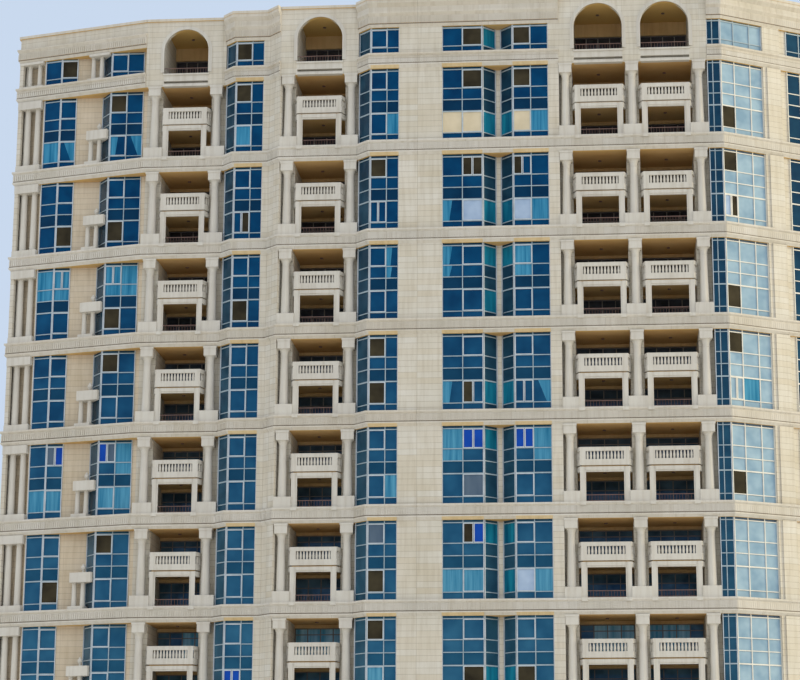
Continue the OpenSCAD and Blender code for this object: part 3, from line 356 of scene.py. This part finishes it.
node_finish = {
    recess_limestone_warm_lit: ["recess_walls"],
    cut_limestone: ["front_piers", "side_piers", "back_piers", "ground_piers", "plinth",
                    "attic_piers", "attic_arches", "parapet", "balcony_piers", "pilasters"],
    belt_limestone: ["belt_friezes", "belt_sills", "balcony_kerbs"],
    moulding_limestone: ["belt_mouldings", "attic_wall", "cornice", "coping"],
    cast_stone: ["balcony_frame_posts", "balcony_frame_heads", "balustrade_bases", "balustrade_rails",
                 "balustrade_posts", "balusters", "pedestals", "column_shafts", "column_bells", "capitals",
                 "loggia_parapets", "urns"],
    ochre_lit_plaster: ["balcony_soffits", "balcony_decks"],
    pale_plaster: ["balcony_lintels"],
    floated_concrete: ["base_slab", "belt_floors", "middle_floors", "bay_floors"],
    roof_concrete: ["roof_slab"],
    blue_glass: ["glazing_left_wing", "glazing_front", "glazing_sides", "glazing_back", "glazing_attic"],
    silvered_glass: ["glazing_right_wing"],
    door_glass: ["balcony_glazing"],
}
for finish, names in node_finish.items():
    for name in names:
        nodes[name].data.materials.clear()
        nodes[name].data.materials.append(finish)


# Helpers for shapes

# How deep applied pieces are sunk into what carries them, so that no faces coincide
SUNK = 0.002
# How far apart points of the same face may lie, across it
SAME_FACE = 0.002


def solids(name):
    """Corner points of each solid of a node."""
    mesh = nodes[name].data
    points = np.empty(len(mesh.vertices) * 3)
    mesh.vertices.foreach_get("co", points)
    points = points.reshape(-1, 3)
    unique, which = np.unique(np.round(points, 4), axis=0, return_inverse=True)
    which = which.ravel()
    edges = np.empty(len(mesh.edges) * 2, dtype=int)
    mesh.edges.foreach_get("vertices", edges)
    group = np.arange(len(unique))
    ends = which[edges].reshape(-1, 2)
    while True:
        lowest = np.minimum(group[ends[:, 0]], group[ends[:, 1]])
        before = group.copy()
        np.minimum.at(group, ends[:, 0], lowest)
        np.minimum.at(group, ends[:, 1], lowest)
        group = group[group]
        if (group == before).all():
            break
    return [unique[group == label] for label in np.unique(group)]


class Sheet:
    """Outer face of an upright sheet: its lower left corner seen from outside, its directions and size."""

    def __init__(self, points):
        flat = points[:, :2]
        middle = points.mean(axis=0)
        spans = [np.array([*(b - a), 0.0]) for a in flat for b in flat]
        lengths = [math.hypot(*span) for span in spans]
        least = max(lengths) / 2
        edges = [span / length for span, length in zip(spans, lengths) if length > least]
        along = min(edges, key=lambda edge: self.spread(points, edge))
        out = np.array([along[1], -along[0], 0.0])
        if out @ (middle - block_middle) < 0:
            out, along = -out, -along
        self.along, self.out = along, out
        outer = points[points @ out > (points @ out).max() - SAME_FACE]
        reach = outer @ along
        self.width = reach.max() - reach.min()
        self.height = points[:, 2].max() - points[:, 2].min()
        start = outer[reach.argmin()]
        self.name = None
        self.origin = np.array([start[0], start[1], points[:, 2].min()])

    @staticmethod
    def spread(points, direction):
        """How thick a solid is across a direction."""
        across = points @ np.array([-direction[1], direction[0], 0.0])
        return across.max() - across.min()

    def point(self, u, z, d):
        """A point u along the sheet, z up it and d out of it."""
        return self.origin + u * self.along + z * UP + d * self.out


# Faces of a box, whose corners are counted along it, then up, then out
BOX_FACES = [(0, 1, 3, 2), (4, 6, 7, 5), (0, 4, 5, 1), (2, 3, 7, 6), (0, 2, 6, 4), (1, 5, 7, 3)]


class Build:
    """A joined mesh of small pieces, with a material for each face."""

    def __init__(self, name, finishes):
        self.name, self.finishes = name, finishes
        self.points, self.faces, self.slots = [], [], []

    def shape(self, points, faces, slot=0):
        """Points and faces with the finish of a number."""
        first = len(self.points)
        self.points += [tuple(p) for p in points]
        self.faces += [tuple(first + i for i in face) for face in faces]
        self.slots += [slot] * len(faces)

    def box(self, sheet, u0, u1, z0, z1, d0, d1, slot=0):
        """A box on a sheet: u along it, z up and d out of it."""
        corners = [sheet.point(u, z, d) for u in (u0, u1) for z in (z0, z1) for d in (d0, d1)]
        self.shape(corners, BOX_FACES, slot)

    def finish(self, slot):
        """The piece as an object that rides on the block."""
        mesh = bpy.data.meshes.new(self.name)
        mesh.from_pydata(self.points, [], self.faces)
        for finish in self.finishes:
            mesh.materials.append(finish)
        mesh.polygons.foreach_set("material_index", self.slots)
        piece = bpy.data.objects.new(self.name, mesh)
        bpy.context.scene.collection.objects.link(piece)
        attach(piece, "root")


# Window bars and lights

# Widths of the bars between the panes, of the one over the lower window, of the frame and of a sash's frame
BAR = 0.03
WIDE_BAR = 0.045
POST = 0.055
SASH_BAR = 0.028
# How far they stand proud of the glass, and how deep they go into it
BAR_PROUD = 0.03
POST_PROUD = 0.034
SASH_PROUD = 0.036
BAR_SUNK = 0.01
# How far lights stand proud that differ from the sheet's glass, and curtains and the like over them
PANE_PROUD = 0.003
LIGHT_PROUD = 0.006
# Height of the lowest belt's top and pitch of the belts, and the numbers of the ground storey and the attic
GROUND_H = 2.5
BAND_PITCH = 3.3
GROUND = -1
ATTIC = 9
# Heights of the cross bars of a two-storey window over its sill. Its rows are the bottom light, the lower
# view, two spandrels, the upper view and the head light
BAND_BARS = [0.257, 1.064, 1.51, 1.94, 2.654]
LOW_VIEW, DARK_SPANDREL, SPANDREL, HIGH_VIEW = 1, 2, 3, 4
BAND_ROWS = 6
BAND_H = 2.75
# Least height of a window of two storeys
TALL_WINDOW = BAND_H - 0.1
# One-storey windows: the row of their views, and the heights of the head lights of those over and under
# TALL_VIEW
SINGLE_VIEW = 1
TALL_VIEW = 1.264
HEAD_LIGHT = 0.09
LOW_HEAD_LIGHT = 0.06
# Greatest width of a light in an even window
PANE_W = 0.75
# Uneven windows: where their upright bars stand, as shares of their width
BAR_SHARES = {"bay": [0.57], "main": [0.57], "corner": [0.42], "right_1": [0.316, 0.702],
              "right_2": [0.316, 0.702]}
# Windows of one band from left to right
FRONT_ROW = ["left_1a", "left_1b", "left_slant", "left_2", "return_1", "bay", "return_3", "main", "centre_1",
             "notch_1", "notch_2", "centre_2", "corner", "right_1", "right_2"]
# Windows on the ground, those without a like window above them as None
GROUND_ROW = [None, None, "return_1", "bay", "return_3", "main", "centre_1", None, "centre_2", "corner",
              "right_1", "right_2"]
# Windows that look at shaded stone or away from the light: their dull blue glass is a painted reflection of
# that shade
SHADED = ["left_slant", "return_1", "return_3", "notch_1", "notch_2", "corner", "right_2"]
# The column of lights with an opening sash
SASHES = {"left_1b": 0, "left_2": 0, "bay": 0, "main": 0, "centre_1": 1, "centre_2": 0}

# Numbers of the finishes of the bars, and of the lights
FRAME, INNER = range(2)
BLUE, DARK_BLUE, CURTAIN, DARK, PALE, BOARD, COBALT, BLIND, SLATE, TEAL, SILVER = range(11)
blue_lights = [blue_glass, spandrel_glass, curtain_glass, dark_room, pale_panel, painted_board, cobalt_film,
               grey_blind, slate_glass, teal_glass, silvered_glass]
# The right wing has its silvered glass in place of the blue
silvered_lights = [silvered_glass, silvered_dark] + blue_lights[2:]
LETTERS = {"b": BLUE, "c": CURTAIN, "l": CURTAIN, "r": CURTAIN, "d": DARK, "p": PALE, "w": BOARD, "k": COBALT,
           "g": BLIND, "t": TEAL}
# Widths of a curtain at the left or right of a light, at its top and at its foot, as shares of the light's
DRAPES = {"l": (0.5, 0.35), "r": (0.75, 0.25)}
# Lights that stand out, by window and band: the upper row, then the lower one, from left to right.
# Two letters together are a split sash. b is plain glass, c a drawn curtain, l and r a curtain held
# to one side, d a dark room, p pale film, w a board, k cobalt film, g a blind, t teal glass. Windows in
# the bands under FIRST_NOTED are drawn at random.
FIRST_NOTED = 2
NOTED = {
    "left_1a": {8: "b/c", 6: "c/b", 4: "b/c"},
    "left_1b": {9: "d", 8: "b/r", 7: "b/d", 6: "cc/b", 4: "gk/c", 3: "b/d"},
    "left_2": {8: "d b/l r", 7: "b b/d b", 6: "cc c/d b", 5: "d b/b b", 4: "kg c/c c", 3: "d b/b b"},
    "bay": {9: "d b", 8: "d b/c b", 7: "b b/bd b", 6: "b b/d b", 2: "b b/kk b"},
    "main": {8: "b b/b c", 7: "d b/bb b", 6: "b l/b b", 5: "d b/d b", 4: "b b/b c", 3: "g b/d b",
             2: "d b/c b"},
    "centre_1": {9: "b d", 8: "b d/w w", 7: "b dd/l p", 6: "l b/b b", 5: "b b/l db", 4: "c kk/b g",
                 3: "b dk/c c", 2: "b b/b d"},
    "centre_2": {9: "d b", 8: "d b/w c", 7: "db b/p c", 6: "c b/b b", 5: "b b/bb r", 4: "kk c/b b",
                 3: "b b/p c", 2: "b b/d b"},
    "notch_1": {9: "t", 8: "b/t", 7: "b/t", 6: "t/t", 5: "b/t", 4: "t/b", 3: "t/b", 2: "b/t"},
    "notch_2": {8: "b/t", 7: "b/t", 6: "t/b", 5: "b/t", 3: "t/t", 2: "b/t"},
    "right_1": {8: "b b b/d b b", 7: "d b b/pd b b", 6: "b b b/d b b", 5: "d b b/bb c b", 4: "b b b/d b b"},
}


# Keeps a sheet at the very foot of a band from falling into the band below
BAND_ROUNDING = 0.01


def band_of(sheet):
    """Number of the band that a sheet stands in: -1 on the ground, 9 in the attic."""
    return math.floor((sheet.origin[2] - GROUND_H) / BAND_PITCH + BAND_ROUNDING)


# A sheet looks to the front where the y part of its way out is under this
FORWARD = -0.3


def looks_front(sheet):
    return sheet.out[1] < FORWARD


def name_windows(sheets):
    """Names of the front's windows in each band, by their places from left to right."""
    for band in range(GROUND, ATTIC + 1):
        row = [sheet for sheet in sheets if band_of(sheet) == band and looks_front(sheet)]
        row.sort(key=lambda sheet: sheet.point(sheet.width / 2, 0.0, 0.0)[0])
        for name, sheet in zip(GROUND_ROW if band == GROUND else FRONT_ROW, row):
            sheet.name = name


def mullions(sheet):
    """Places of the upright bars along a sheet, its edges included."""
    w = sheet.width
    if sheet.name in BAR_SHARES:
        return [0.0] + [share * w for share in BAR_SHARES[sheet.name]] + [w]
    panes = math.ceil(w / PANE_W)
    return [w * i / panes for i in range(panes + 1)]


def transoms(sheet):
    """Heights of the cross bars on a sheet, its sill and head included."""
    if sheet.height > TALL_WINDOW:
        scale = sheet.height / BAND_H
        return [0.0] + [z * scale for z in BAND_BARS] + [sheet.height]
    view_foot, view_head = BAND_BARS[:2]
    if sheet.height > TALL_VIEW:
        return [0.0, view_foot, view_head, sheet.height - HEAD_LIGHT, sheet.height]
    return [0.0, view_foot, sheet.height - LOW_HEAD_LIGHT, sheet.height]


def noted_lights(sheet, columns):
    """Letters of a window's lights as {(row, column): letters}, or nothing where none are noted."""
    band = band_of(sheet)
    if sheet.name not in NOTED or band < FIRST_NOTED:
        return None
    text = NOTED[sheet.name].get(band, "")
    rows = (SINGLE_VIEW,) if band == ATTIC else (HIGH_VIEW, LOW_VIEW)
    letters = {}
    for row, part in zip(rows, text.split("/")):
        for column, light in enumerate(part.split()[:columns]):
            letters[row, column] = light
            if row == HIGH_VIEW and light[0] in "clr":
                letters[SPANDREL, column] = light[0]
    return letters


def random_letter(chance):
    """A curtain or a dark room, each with a chance of its own, or else plain glass."""
    draw = random.random()
    if draw < chance[0]:
        return random.choice("clr")
    if draw < chance[0] + chance[1]:
        return "d"
    return "b"


def sash_frame(bars, sheet, u0, u1, z0, z1):
    """Four bars round an opening light, within the bars of its window."""
    u0, u1 = u0 + BAR / 4, u1 - BAR / 4
    z0, z1 = z0 + BAR / 2, z1 - BAR / 2
    left, right = u0 + SASH_BAR, u1 - SASH_BAR
    for ends in ((u0, left, z0, z1), (right, u1, z0, z1),
                 (left, right, z0, z0 + SASH_BAR), (left, right, z1 - SASH_BAR, z1)):
        bars.box(sheet, *ends, -BAR_SUNK, SASH_PROUD, FRAME)


def drape(lights, sheet, side, u0, u1, z0, z1):
    """A curtain held to one side of a light."""
    top, foot = (share * (u1 - u0) for share in DRAPES[side])
    if side == "l":
        ends = [(u0, z0), (u0, z1), (u0 + foot, z0), (u0 + top, z1)]
    else:
        ends = [(u1 - foot, z0), (u1 - top, z1), (u1, z0), (u1, z1)]
    corners = [sheet.point(u, z, d) for u, z in ends for d in (-SUNK, LIGHT_PROUD)]
    lights.shape(corners, BOX_FACES, CURTAIN)


def fill_light(lights, sheet, letter, u0, u1, z0, z1):
    """What a letter says of a light."""
    if letter in DRAPES:
        drape(lights, sheet, letter, u0, u1, z0, z1)
    elif LETTERS[letter] != BLUE:
        lights.box(sheet, u0, u1, z0, z1, -SUNK, LIGHT_PROUD, LETTERS[letter])


def upright_bars(bars, sheet, us):
    for i, u in enumerate(us):
        edge = i in (0, len(us) - 1)
        half = (POST if edge else BAR) / 2
        u0, u1 = max(u - half, 0.0), min(u + half, sheet.width)
        bars.box(sheet, u0, u1, 0.0, sheet.height, -BAR_SUNK, POST_PROUD, FRAME if edge else INNER)


def cross_bars(bars, sheet, zs):
    wide = zs[2]
    for z in zs[1:-1] + [BAR / 2]:
        half = (WIDE_BAR if z == wide else BAR) / 2
        bars.box(sheet, 0.0, sheet.width, z - half, z + half, -BAR_SUNK, BAR_PROUD, INNER)


def pane_kind(sheet, row, rows):
    """Finish of a light apart from curtains and the like."""
    # The head lights under the belts: painted shade of the belt over them, dull blue, and grey on the right
    # wing
    if row == rows - 1:
        return BLIND if sheet.name == "right_1" else SLATE
    # Painted reflection of shaded stone
    if sheet.name in SHADED:
        return SLATE
    if sheet.name == "right_1":
        return SILVER
    if rows == BAND_ROWS and row == DARK_SPANDREL:
        return DARK_BLUE
    return BLUE


def glaze_window(bars, lights, sheet, chance):
    """Bars, sashes and lights of one sheet."""
    us, zs = mullions(sheet), transoms(sheet)
    rows, columns = len(zs) - 1, len(us) - 1
    upright_bars(bars, sheet, us)
    cross_bars(bars, sheet, zs)
    noted = noted_lights(sheet, columns)
    view_rows = (LOW_VIEW, HIGH_VIEW) if rows == BAND_ROWS else (SINGLE_VIEW,)
    for row, (z0, z1) in enumerate(zip(zs, zs[1:])):
        kind = pane_kind(sheet, row, rows)
        for column, (u0, u1) in enumerate(zip(us, us[1:])):
            if kind != BLUE:
                lights.box(sheet, u0, u1, z0, z1, -SUNK, PANE_PROUD, kind)
            if row not in view_rows and not (noted and (row, column) in noted):
                continue
            if noted is not None:
                letters = noted.get((row, column), "b")
            elif sheet.name in SHADED:
                letters = "b"
            else:
                letters = random_letter(chance)
            sash = SASHES.get(sheet.name) == column and row in view_rows
            edges = np.linspace(u0, u1, len(letters) + 1)
            for letter, left, right in zip(letters, edges, edges[1:]):
                fill_light(lights, sheet, letter, left, right, z0, z1)
                if sash or len(letters) > 1:
                    sash_frame(bars, sheet, left, right, z0, z1)


def glaze(area, sheets, chance, coats=(pale_coat, grey_coat), finishes=blue_lights):
    """The windows of a node. chance has the shares of curtains and of dark rooms."""
    bars = Build("window_bars_" + area, coats)
    lights = Build("window_lights_" + area, finishes)
    for sheet in sheets:
        glaze_window(bars, lights, sheet, chance)
    bars.finish("pale_stone")
    lights.finish("window_glass")


# Where nothing is noted, chance decides between curtains, dark rooms and plain glass
random.seed(11)
areas = {area: [Sheet(points) for points in solids("glazing_" + area)]
         for area in ("left_wing", "front", "right_wing", "sides", "back", "attic")}
name_windows([sheet for sheets in areas.values() for sheet in sheets])
glaze("left_wing", areas["left_wing"], (0.22, 0.1))
glaze("front", areas["front"], (0.25, 0.1))
glaze("right_wing", areas["right_wing"], (0.1, 0.05), (cream_coat, cream_coat), silvered_lights)
glaze("sides", areas["sides"], (0.15, 0.05))
glaze("back", areas["back"], (0.15, 0.05))
glaze("attic", areas["attic"], (0.1, 0.1))


# Painted warm light over the windows' heads: a thin ochre sheet on the slope under each belt

# The slope's height and reach, how far it starts in front of the glass, and half the painted sheet's
# thickness
SLOPE_H = 0.1
SLOPE_OUT = 0.09
SLOPE_START = 0.09
GLOW_HALF = 0.004


def head_ochre_glows(area):
    glows = Build("window_head_ochre_glows_" + area, [ochre_underside_glow])
    for sheet in areas[area]:
        if sheet.height < TALL_WINDOW or sheet.name in SHADED:
            continue
        # A thin ochre sheet: painted light on the slope's underside
        ends = [(sheet.height, SLOPE_START), (sheet.height + SLOPE_H, SLOPE_START + SLOPE_OUT)]
        corners = [sheet.point(u, z - proud, d + proud)
                   for u in (0.0, sheet.width) for z, d in ends for proud in (-GLOW_HALF, GLOW_HALF)]
        glows.shape(corners, BOX_FACES)
    glows.finish("pale_stone")


for area in ("front", "sides", "back"):
    head_ochre_glows(area)


# Balconies: doors under the lintels at their backs, and a round lamp on each ceiling

# Floor of the lower balcony under its belt's top, and floor of the upper one over it
FLOOR_DROP = 0.275
DECK = 1.375
# Thickness of the lintels, and widths of a door's leaf and of its bars
LINTEL_T = 0.1
DOOR_W = 0.46
DOOR_BAR = 0.035
# Height of the doors under their top lights
DOOR_TOP = 1.02
# Gap round a door's bars, and their back and front, measured out of their lintel's face
DOOR_GAP = 0.002
DOOR_BACK = DOOR_GAP - LINTEL_T
DOOR_FRONT = 0.03 - LINTEL_T
# How far a lamp hangs in front of its lintel, and its size
LAMP_OUT = 0.9
LAMP_R = 0.06
LAMP_H = 0.03
LAMP_SIDES = 16
# Bands up to which upper doors have curtains, and how many of their leaves
CURTAINED_BAND = 2
CURTAINED_SHARE = 0.7


def disc(build, sheet, u, d, z, h, r):
    """A round disc, its foot z up the sheet and its middle d in front of it."""
    turns = np.linspace(0, 2 * math.pi, LAMP_SIDES, False)
    rim = [(u + r * math.cos(turn), d + r * math.sin(turn)) for turn in turns]
    points = [sheet.point(x, z, y) for x, y in rim] + [sheet.point(x, z + h, y) for x, y in rim]
    n = LAMP_SIDES
    faces = [(i, (i + 1) % n, n + (i + 1) % n, n + i) for i in range(n)]
    build.shape(points, faces + [tuple(range(n))[::-1], tuple(range(n, 2 * n))])


def doors():
    bars = Build("balcony_door_bars", [bronze_coat])
    lamps = Build("balcony_lamps", [brown_coat])
    curtains = Build("balcony_door_curtains", [curtained_door])
    for points in solids("balcony_lintels"):
        head = Sheet(points)
        w = head.width
        over_belt = (head.origin[2] - GROUND_H) % BAND_PITCH
        upper = over_belt > DECK + DOOR_TOP
        tall = over_belt - DECK if upper else over_belt + FLOOR_DROP
        curtained = upper and band_of(head) <= CURTAINED_BAND
        leaves = round(w / DOOR_W)
        foot, top = DOOR_GAP - tall, -DOOR_GAP
        for i in range(leaves + 1):
            u = min(max(w * i / leaves - DOOR_BAR / 2, 0.0), w - DOOR_BAR)
            bars.box(head, u, u + DOOR_BAR, foot, top, DOOR_BACK, DOOR_FRONT)
            if curtained and i and random.random() < CURTAINED_SHARE:
                side = u - w / leaves + DOOR_BAR
                curtains.box(head, side, u, foot, top, DOOR_BACK, DOOR_BACK + LIGHT_PROUD)
        for z in (-DOOR_BAR, DOOR_TOP - tall, foot):
            bars.box(head, 0.0, w, z, z + DOOR_BAR - DOOR_GAP, DOOR_BACK, DOOR_FRONT)
        disc(lamps, head, w / 2, LAMP_OUT, head.height - LAMP_H, LAMP_H, LAMP_R)
    bars.finish("pale_stone")
    lamps.finish("pale_stone")
    curtains.finish("window_glass")


doors()


# Lower balconies: feet and sill of the frame over the belt's sill course, and a low rail between the posts

# Least width of a frame's head at the front, width of its posts, and its height over the belt
FRAME_HEAD_W = 1.0
FRAME_POST = 0.205
HEAD_OVER_BELT = 1.06
# Reach and height of the belt's sill course, how far the feet wrap round it, and height of the sill
SILL_OUT = 0.12
SILL_H = 0.11
FOOT_PROUD = 0.012
STRIP_H = 0.035
# Rail: its foot and top over the belt, its bars and rods, and how far it stands behind the frame's face
RAIL_FOOT = 0.04
RAIL_TOP = 0.27
RAIL_BAR = 0.025
RAIL_ROD = 0.012
RAIL_PITCH = 0.1
RAIL_BACK = 0.06
# Gap at the ends of a rail
RAIL_GAP = 0.002


def rail(build, sheet, foot, top):
    """A low rail of thin rods between two bars, behind a sheet's face."""
    w = sheet.width
    back, front = -RAIL_BACK, RAIL_BAR - RAIL_BACK
    for z in (foot, top - RAIL_BAR):
        build.box(sheet, RAIL_GAP, w - RAIL_GAP, z, z + RAIL_BAR, back, front)
    rods = round(w / RAIL_PITCH)
    middle = (back + front) / 2
    half = RAIL_ROD / 2
    for i in range(1, rods):
        u = w * i / rods
        build.box(sheet, u - half, u + half, foot, top, middle - half, middle + half)


def frame_feet():
    feet = Build("balcony_frame_feet", [cast_stone])
    rails = Build("balcony_low_rails", [brown_coat])
    for points in solids("balcony_frame_heads"):
        head = Sheet(points)
        w = head.width
        if w < FRAME_HEAD_W:
            continue
        belt = -HEAD_OVER_BELT
        out = SILL_OUT + FOOT_PROUD
        for u0, u1 in ((-FRAME_POST, 0.0), (w, w + FRAME_POST)):
            feet.box(head, u0, u1, belt - SILL_H, belt + FOOT_PROUD, 0.0, out)
        feet.box(head, 0.0, w, belt - STRIP_H, belt + FOOT_PROUD, 0.0, out)
        rail(rails, head, belt + RAIL_FOOT, belt + RAIL_TOP)
    feet.finish("pale_stone")
    rails.finish("pale_stone")


frame_feet()


# Mouldings round the arches of the attic loggias

# Height of a loggia's parapet, whose lower strip is a solid under LEAST_PANEL
PANEL_H = 0.28
LEAST_PANEL = PANEL_H - 0.05
# Where the jambs of an arch start, and its spring line, over the parapet's foot
ARCH_FOOT = 0.33
SPRING = 1.18
# Width and thickness of the two mouldings round an arch
ARCH_STEPS = ((0.13, 0.03), (0.055, 0.05))
ARCH_PARTS = 48
# The rail over a parapet, the parapet's cap, and the strip under it
LOGGIA_RAIL = 0.24
CAP_H = 0.055
CAP_OVER = 0.03
CAP_PROUD = 0.05
STRIP_LOW = 0.07


def arc(build, sheet, centre, r0, r1, proud):
    """A half ring over the spring line of an arch."""
    points, faces = [], []
    for i in range(ARCH_PARTS + 1):
        turn = math.pi * i / ARCH_PARTS
        for r, d in ((r0, 0.0), (r1, 0.0), (r1, proud), (r0, proud)):
            points.append(sheet.point(centre - r * math.cos(turn), SPRING + r * math.sin(turn), d))
    for i in range(ARCH_PARTS):
        for j in range(4):
            k = (j + 1) % 4
            faces.append((4 * i + j, 4 * i + k, 4 * i + 4 + k, 4 * i + 4 + j))
    last = 4 * ARCH_PARTS
    build.shape(points, faces + [(0, 3, 2, 1), (last, last + 1, last + 2, last + 3)])


def archivolts():
    bands = Build("loggia_archivolts", [cast_stone])
    rails = Build("loggia_rails", [brown_coat])
    for points in solids("loggia_parapets"):
        panel = Sheet(points)
        w = panel.width
        if panel.height < LEAST_PANEL:
            bands.box(panel, -CAP_OVER, w + CAP_OVER, 0.0, STRIP_LOW, -SUNK, CAP_PROUD)
            continue
        bands.box(panel, -CAP_OVER, w + CAP_OVER, PANEL_H - CAP_H, PANEL_H + SUNK, -SUNK, CAP_PROUD)
        r = w / 2
        for wide, proud in ARCH_STEPS:
            for u0, u1 in ((-wide, 0.0), (w, w + wide)):
                bands.box(panel, u0, u1, ARCH_FOOT, SPRING, 0.0, proud)
            arc(bands, panel, r, r, r + wide, proud)
        rail(rails, panel, PANEL_H, PANEL_H + LOGGIA_RAIL)
    bands.finish("cast_stone")
    rails.finish("pale_stone")


archivolts()


# Upright ribs along the friezes, and a dark strip of painted groove shadow at their foot

# Their pitch, width and relief, and the plain margin over and under them
RIB_PITCH = 0.086
RIB_W = 0.046
RIB_OUT = 0.025
RIB_MARGIN = 0.04
# Ribs of friezes that face the sun, on the right, are weathered almost flat
WORN_RIB_OUT = 0.008
RIGHTWARD = 0.3
# Dark strip along the foot of each frieze: painted shadow of a groove
SHADOW_LINE_H = 0.034
SHADOW_LINE_OUT = 0.004
# Height of the slope under the attic's frieze
ATTIC_SLOPE = 0.1


def frieze_ribs():
    groove_shadows = Build("belt_groove_shadows", [groove_shadow])
    for node, finish, start in (("belt_friezes", belt_limestone, 0.0),
                                ("attic_wall", moulding_limestone, ATTIC_SLOPE)):
        ribs = Build("ribs_of_" + node, [finish])
        for points in solids(node):
            sheet = Sheet(points)
            # Painted shadow of the groove under the frieze
            groove_shadows.box(sheet, 0.0, sheet.width, start, start + SHADOW_LINE_H, -SUNK, SHADOW_LINE_OUT)
            out = WORN_RIB_OUT if sheet.out[0] > RIGHTWARD else RIB_OUT
            foot, top = start + RIB_MARGIN, sheet.height - RIB_MARGIN
            count = int((sheet.width - RIB_W) / RIB_PITCH)
            first = (sheet.width - count * RIB_PITCH) / 2
            for i in range(count + 1):
                u = first + i * RIB_PITCH
                ribs.box(sheet, u - RIB_W / 2, u + RIB_W / 2, foot, top, -SUNK, out)
        ribs.finish("pale_stone")
    groove_shadows.finish("cast_stone")


frieze_ribs()


# Studio: pale floor and backdrop, soft light from all round and a large soft lamp on the right

FLOOR_HALF = 400.0
SKY_LIGHT = "F1F5FA"
BACKDROP = "C9D9EE"
# The lamp's size, power and place, the point that it faces, and its warm light
SUN_SIZE = 60.0
SUN_POWER = 101000.0
SUN_AT = (128.0, -9.0, 62.0)
SUN_AIM = (0.0, 0.0, 20.0)
SUN_TONE = (1.0, 0.84, 0.48)


def studio_floor():
    made, _, shader = new_material("studio_floor")
    shader.inputs["Base Color"].default_value = colour("EFEAE0")
    shader.inputs["Roughness"].default_value = 0.9
    half = FLOOR_HALF
    corners = [(-half, -half, 0), (half, -half, 0), (half, half, 0), (-half, half, 0)]
    mesh = bpy.data.meshes.new("studio_floor")
    mesh.from_pydata(corners, [], [(0, 1, 2, 3)])
    mesh.materials.append(made)
    floor = bpy.data.objects.new("studio_floor", mesh)
    bpy.context.scene.collection.objects.link(floor)


def studio_world():
    """A plain soft light on the block, and a pale blue backdrop for the eye, metal and glass."""
    world = bpy.data.worlds.new("studio_world")
    world.use_nodes = True
    tree = world.node_tree
    tree.nodes.clear()
    paths = add(tree, "ShaderNodeLightPath").outputs
    seen = paths["Is Camera Ray"]
    for ray in ("Is Glossy Ray", "Is Transmission Ray"):
        seen = add(tree, "ShaderNodeMath", {0: seen, 1: paths[ray]}, operation="MAXIMUM").outputs["Value"]
    light = add(tree, "ShaderNodeBackground", {"Color": colour(SKY_LIGHT), "Strength": 1.0})
    backdrop = add(tree, "ShaderNodeBackground", {"Color": colour(BACKDROP), "Strength": 1.0})
    both = add(tree, "ShaderNodeMixShader", {0: seen, 1: light.outputs[0], 2: backdrop.outputs[0]})
    add(tree, "ShaderNodeOutputWorld", {"Surface": both.outputs[0]})
    bpy.context.scene.world = world


def studio_lamp():
    lamp_data = bpy.data.lights.new("soft_lamp", "AREA")
    lamp_data.shape = "DISK"
    lamp_data.size = SUN_SIZE
    lamp_data.energy = SUN_POWER
    lamp_data.color = SUN_TONE
    lamp = bpy.data.objects.new("soft_lamp", lamp_data)
    lamp.location = SUN_AT
    aim = np.array(SUN_AIM) - np.array(SUN_AT)
    lamp.rotation_euler = (math.atan2(math.hypot(aim[0], aim[1]), -aim[2]), 0.0, math.atan2(-aim[0], aim[1]))
    bpy.context.scene.collection.objects.link(lamp)


studio_floor()
studio_world()
studio_lamp()
bpy.context.scene.view_settings.view_transform = "Standard"
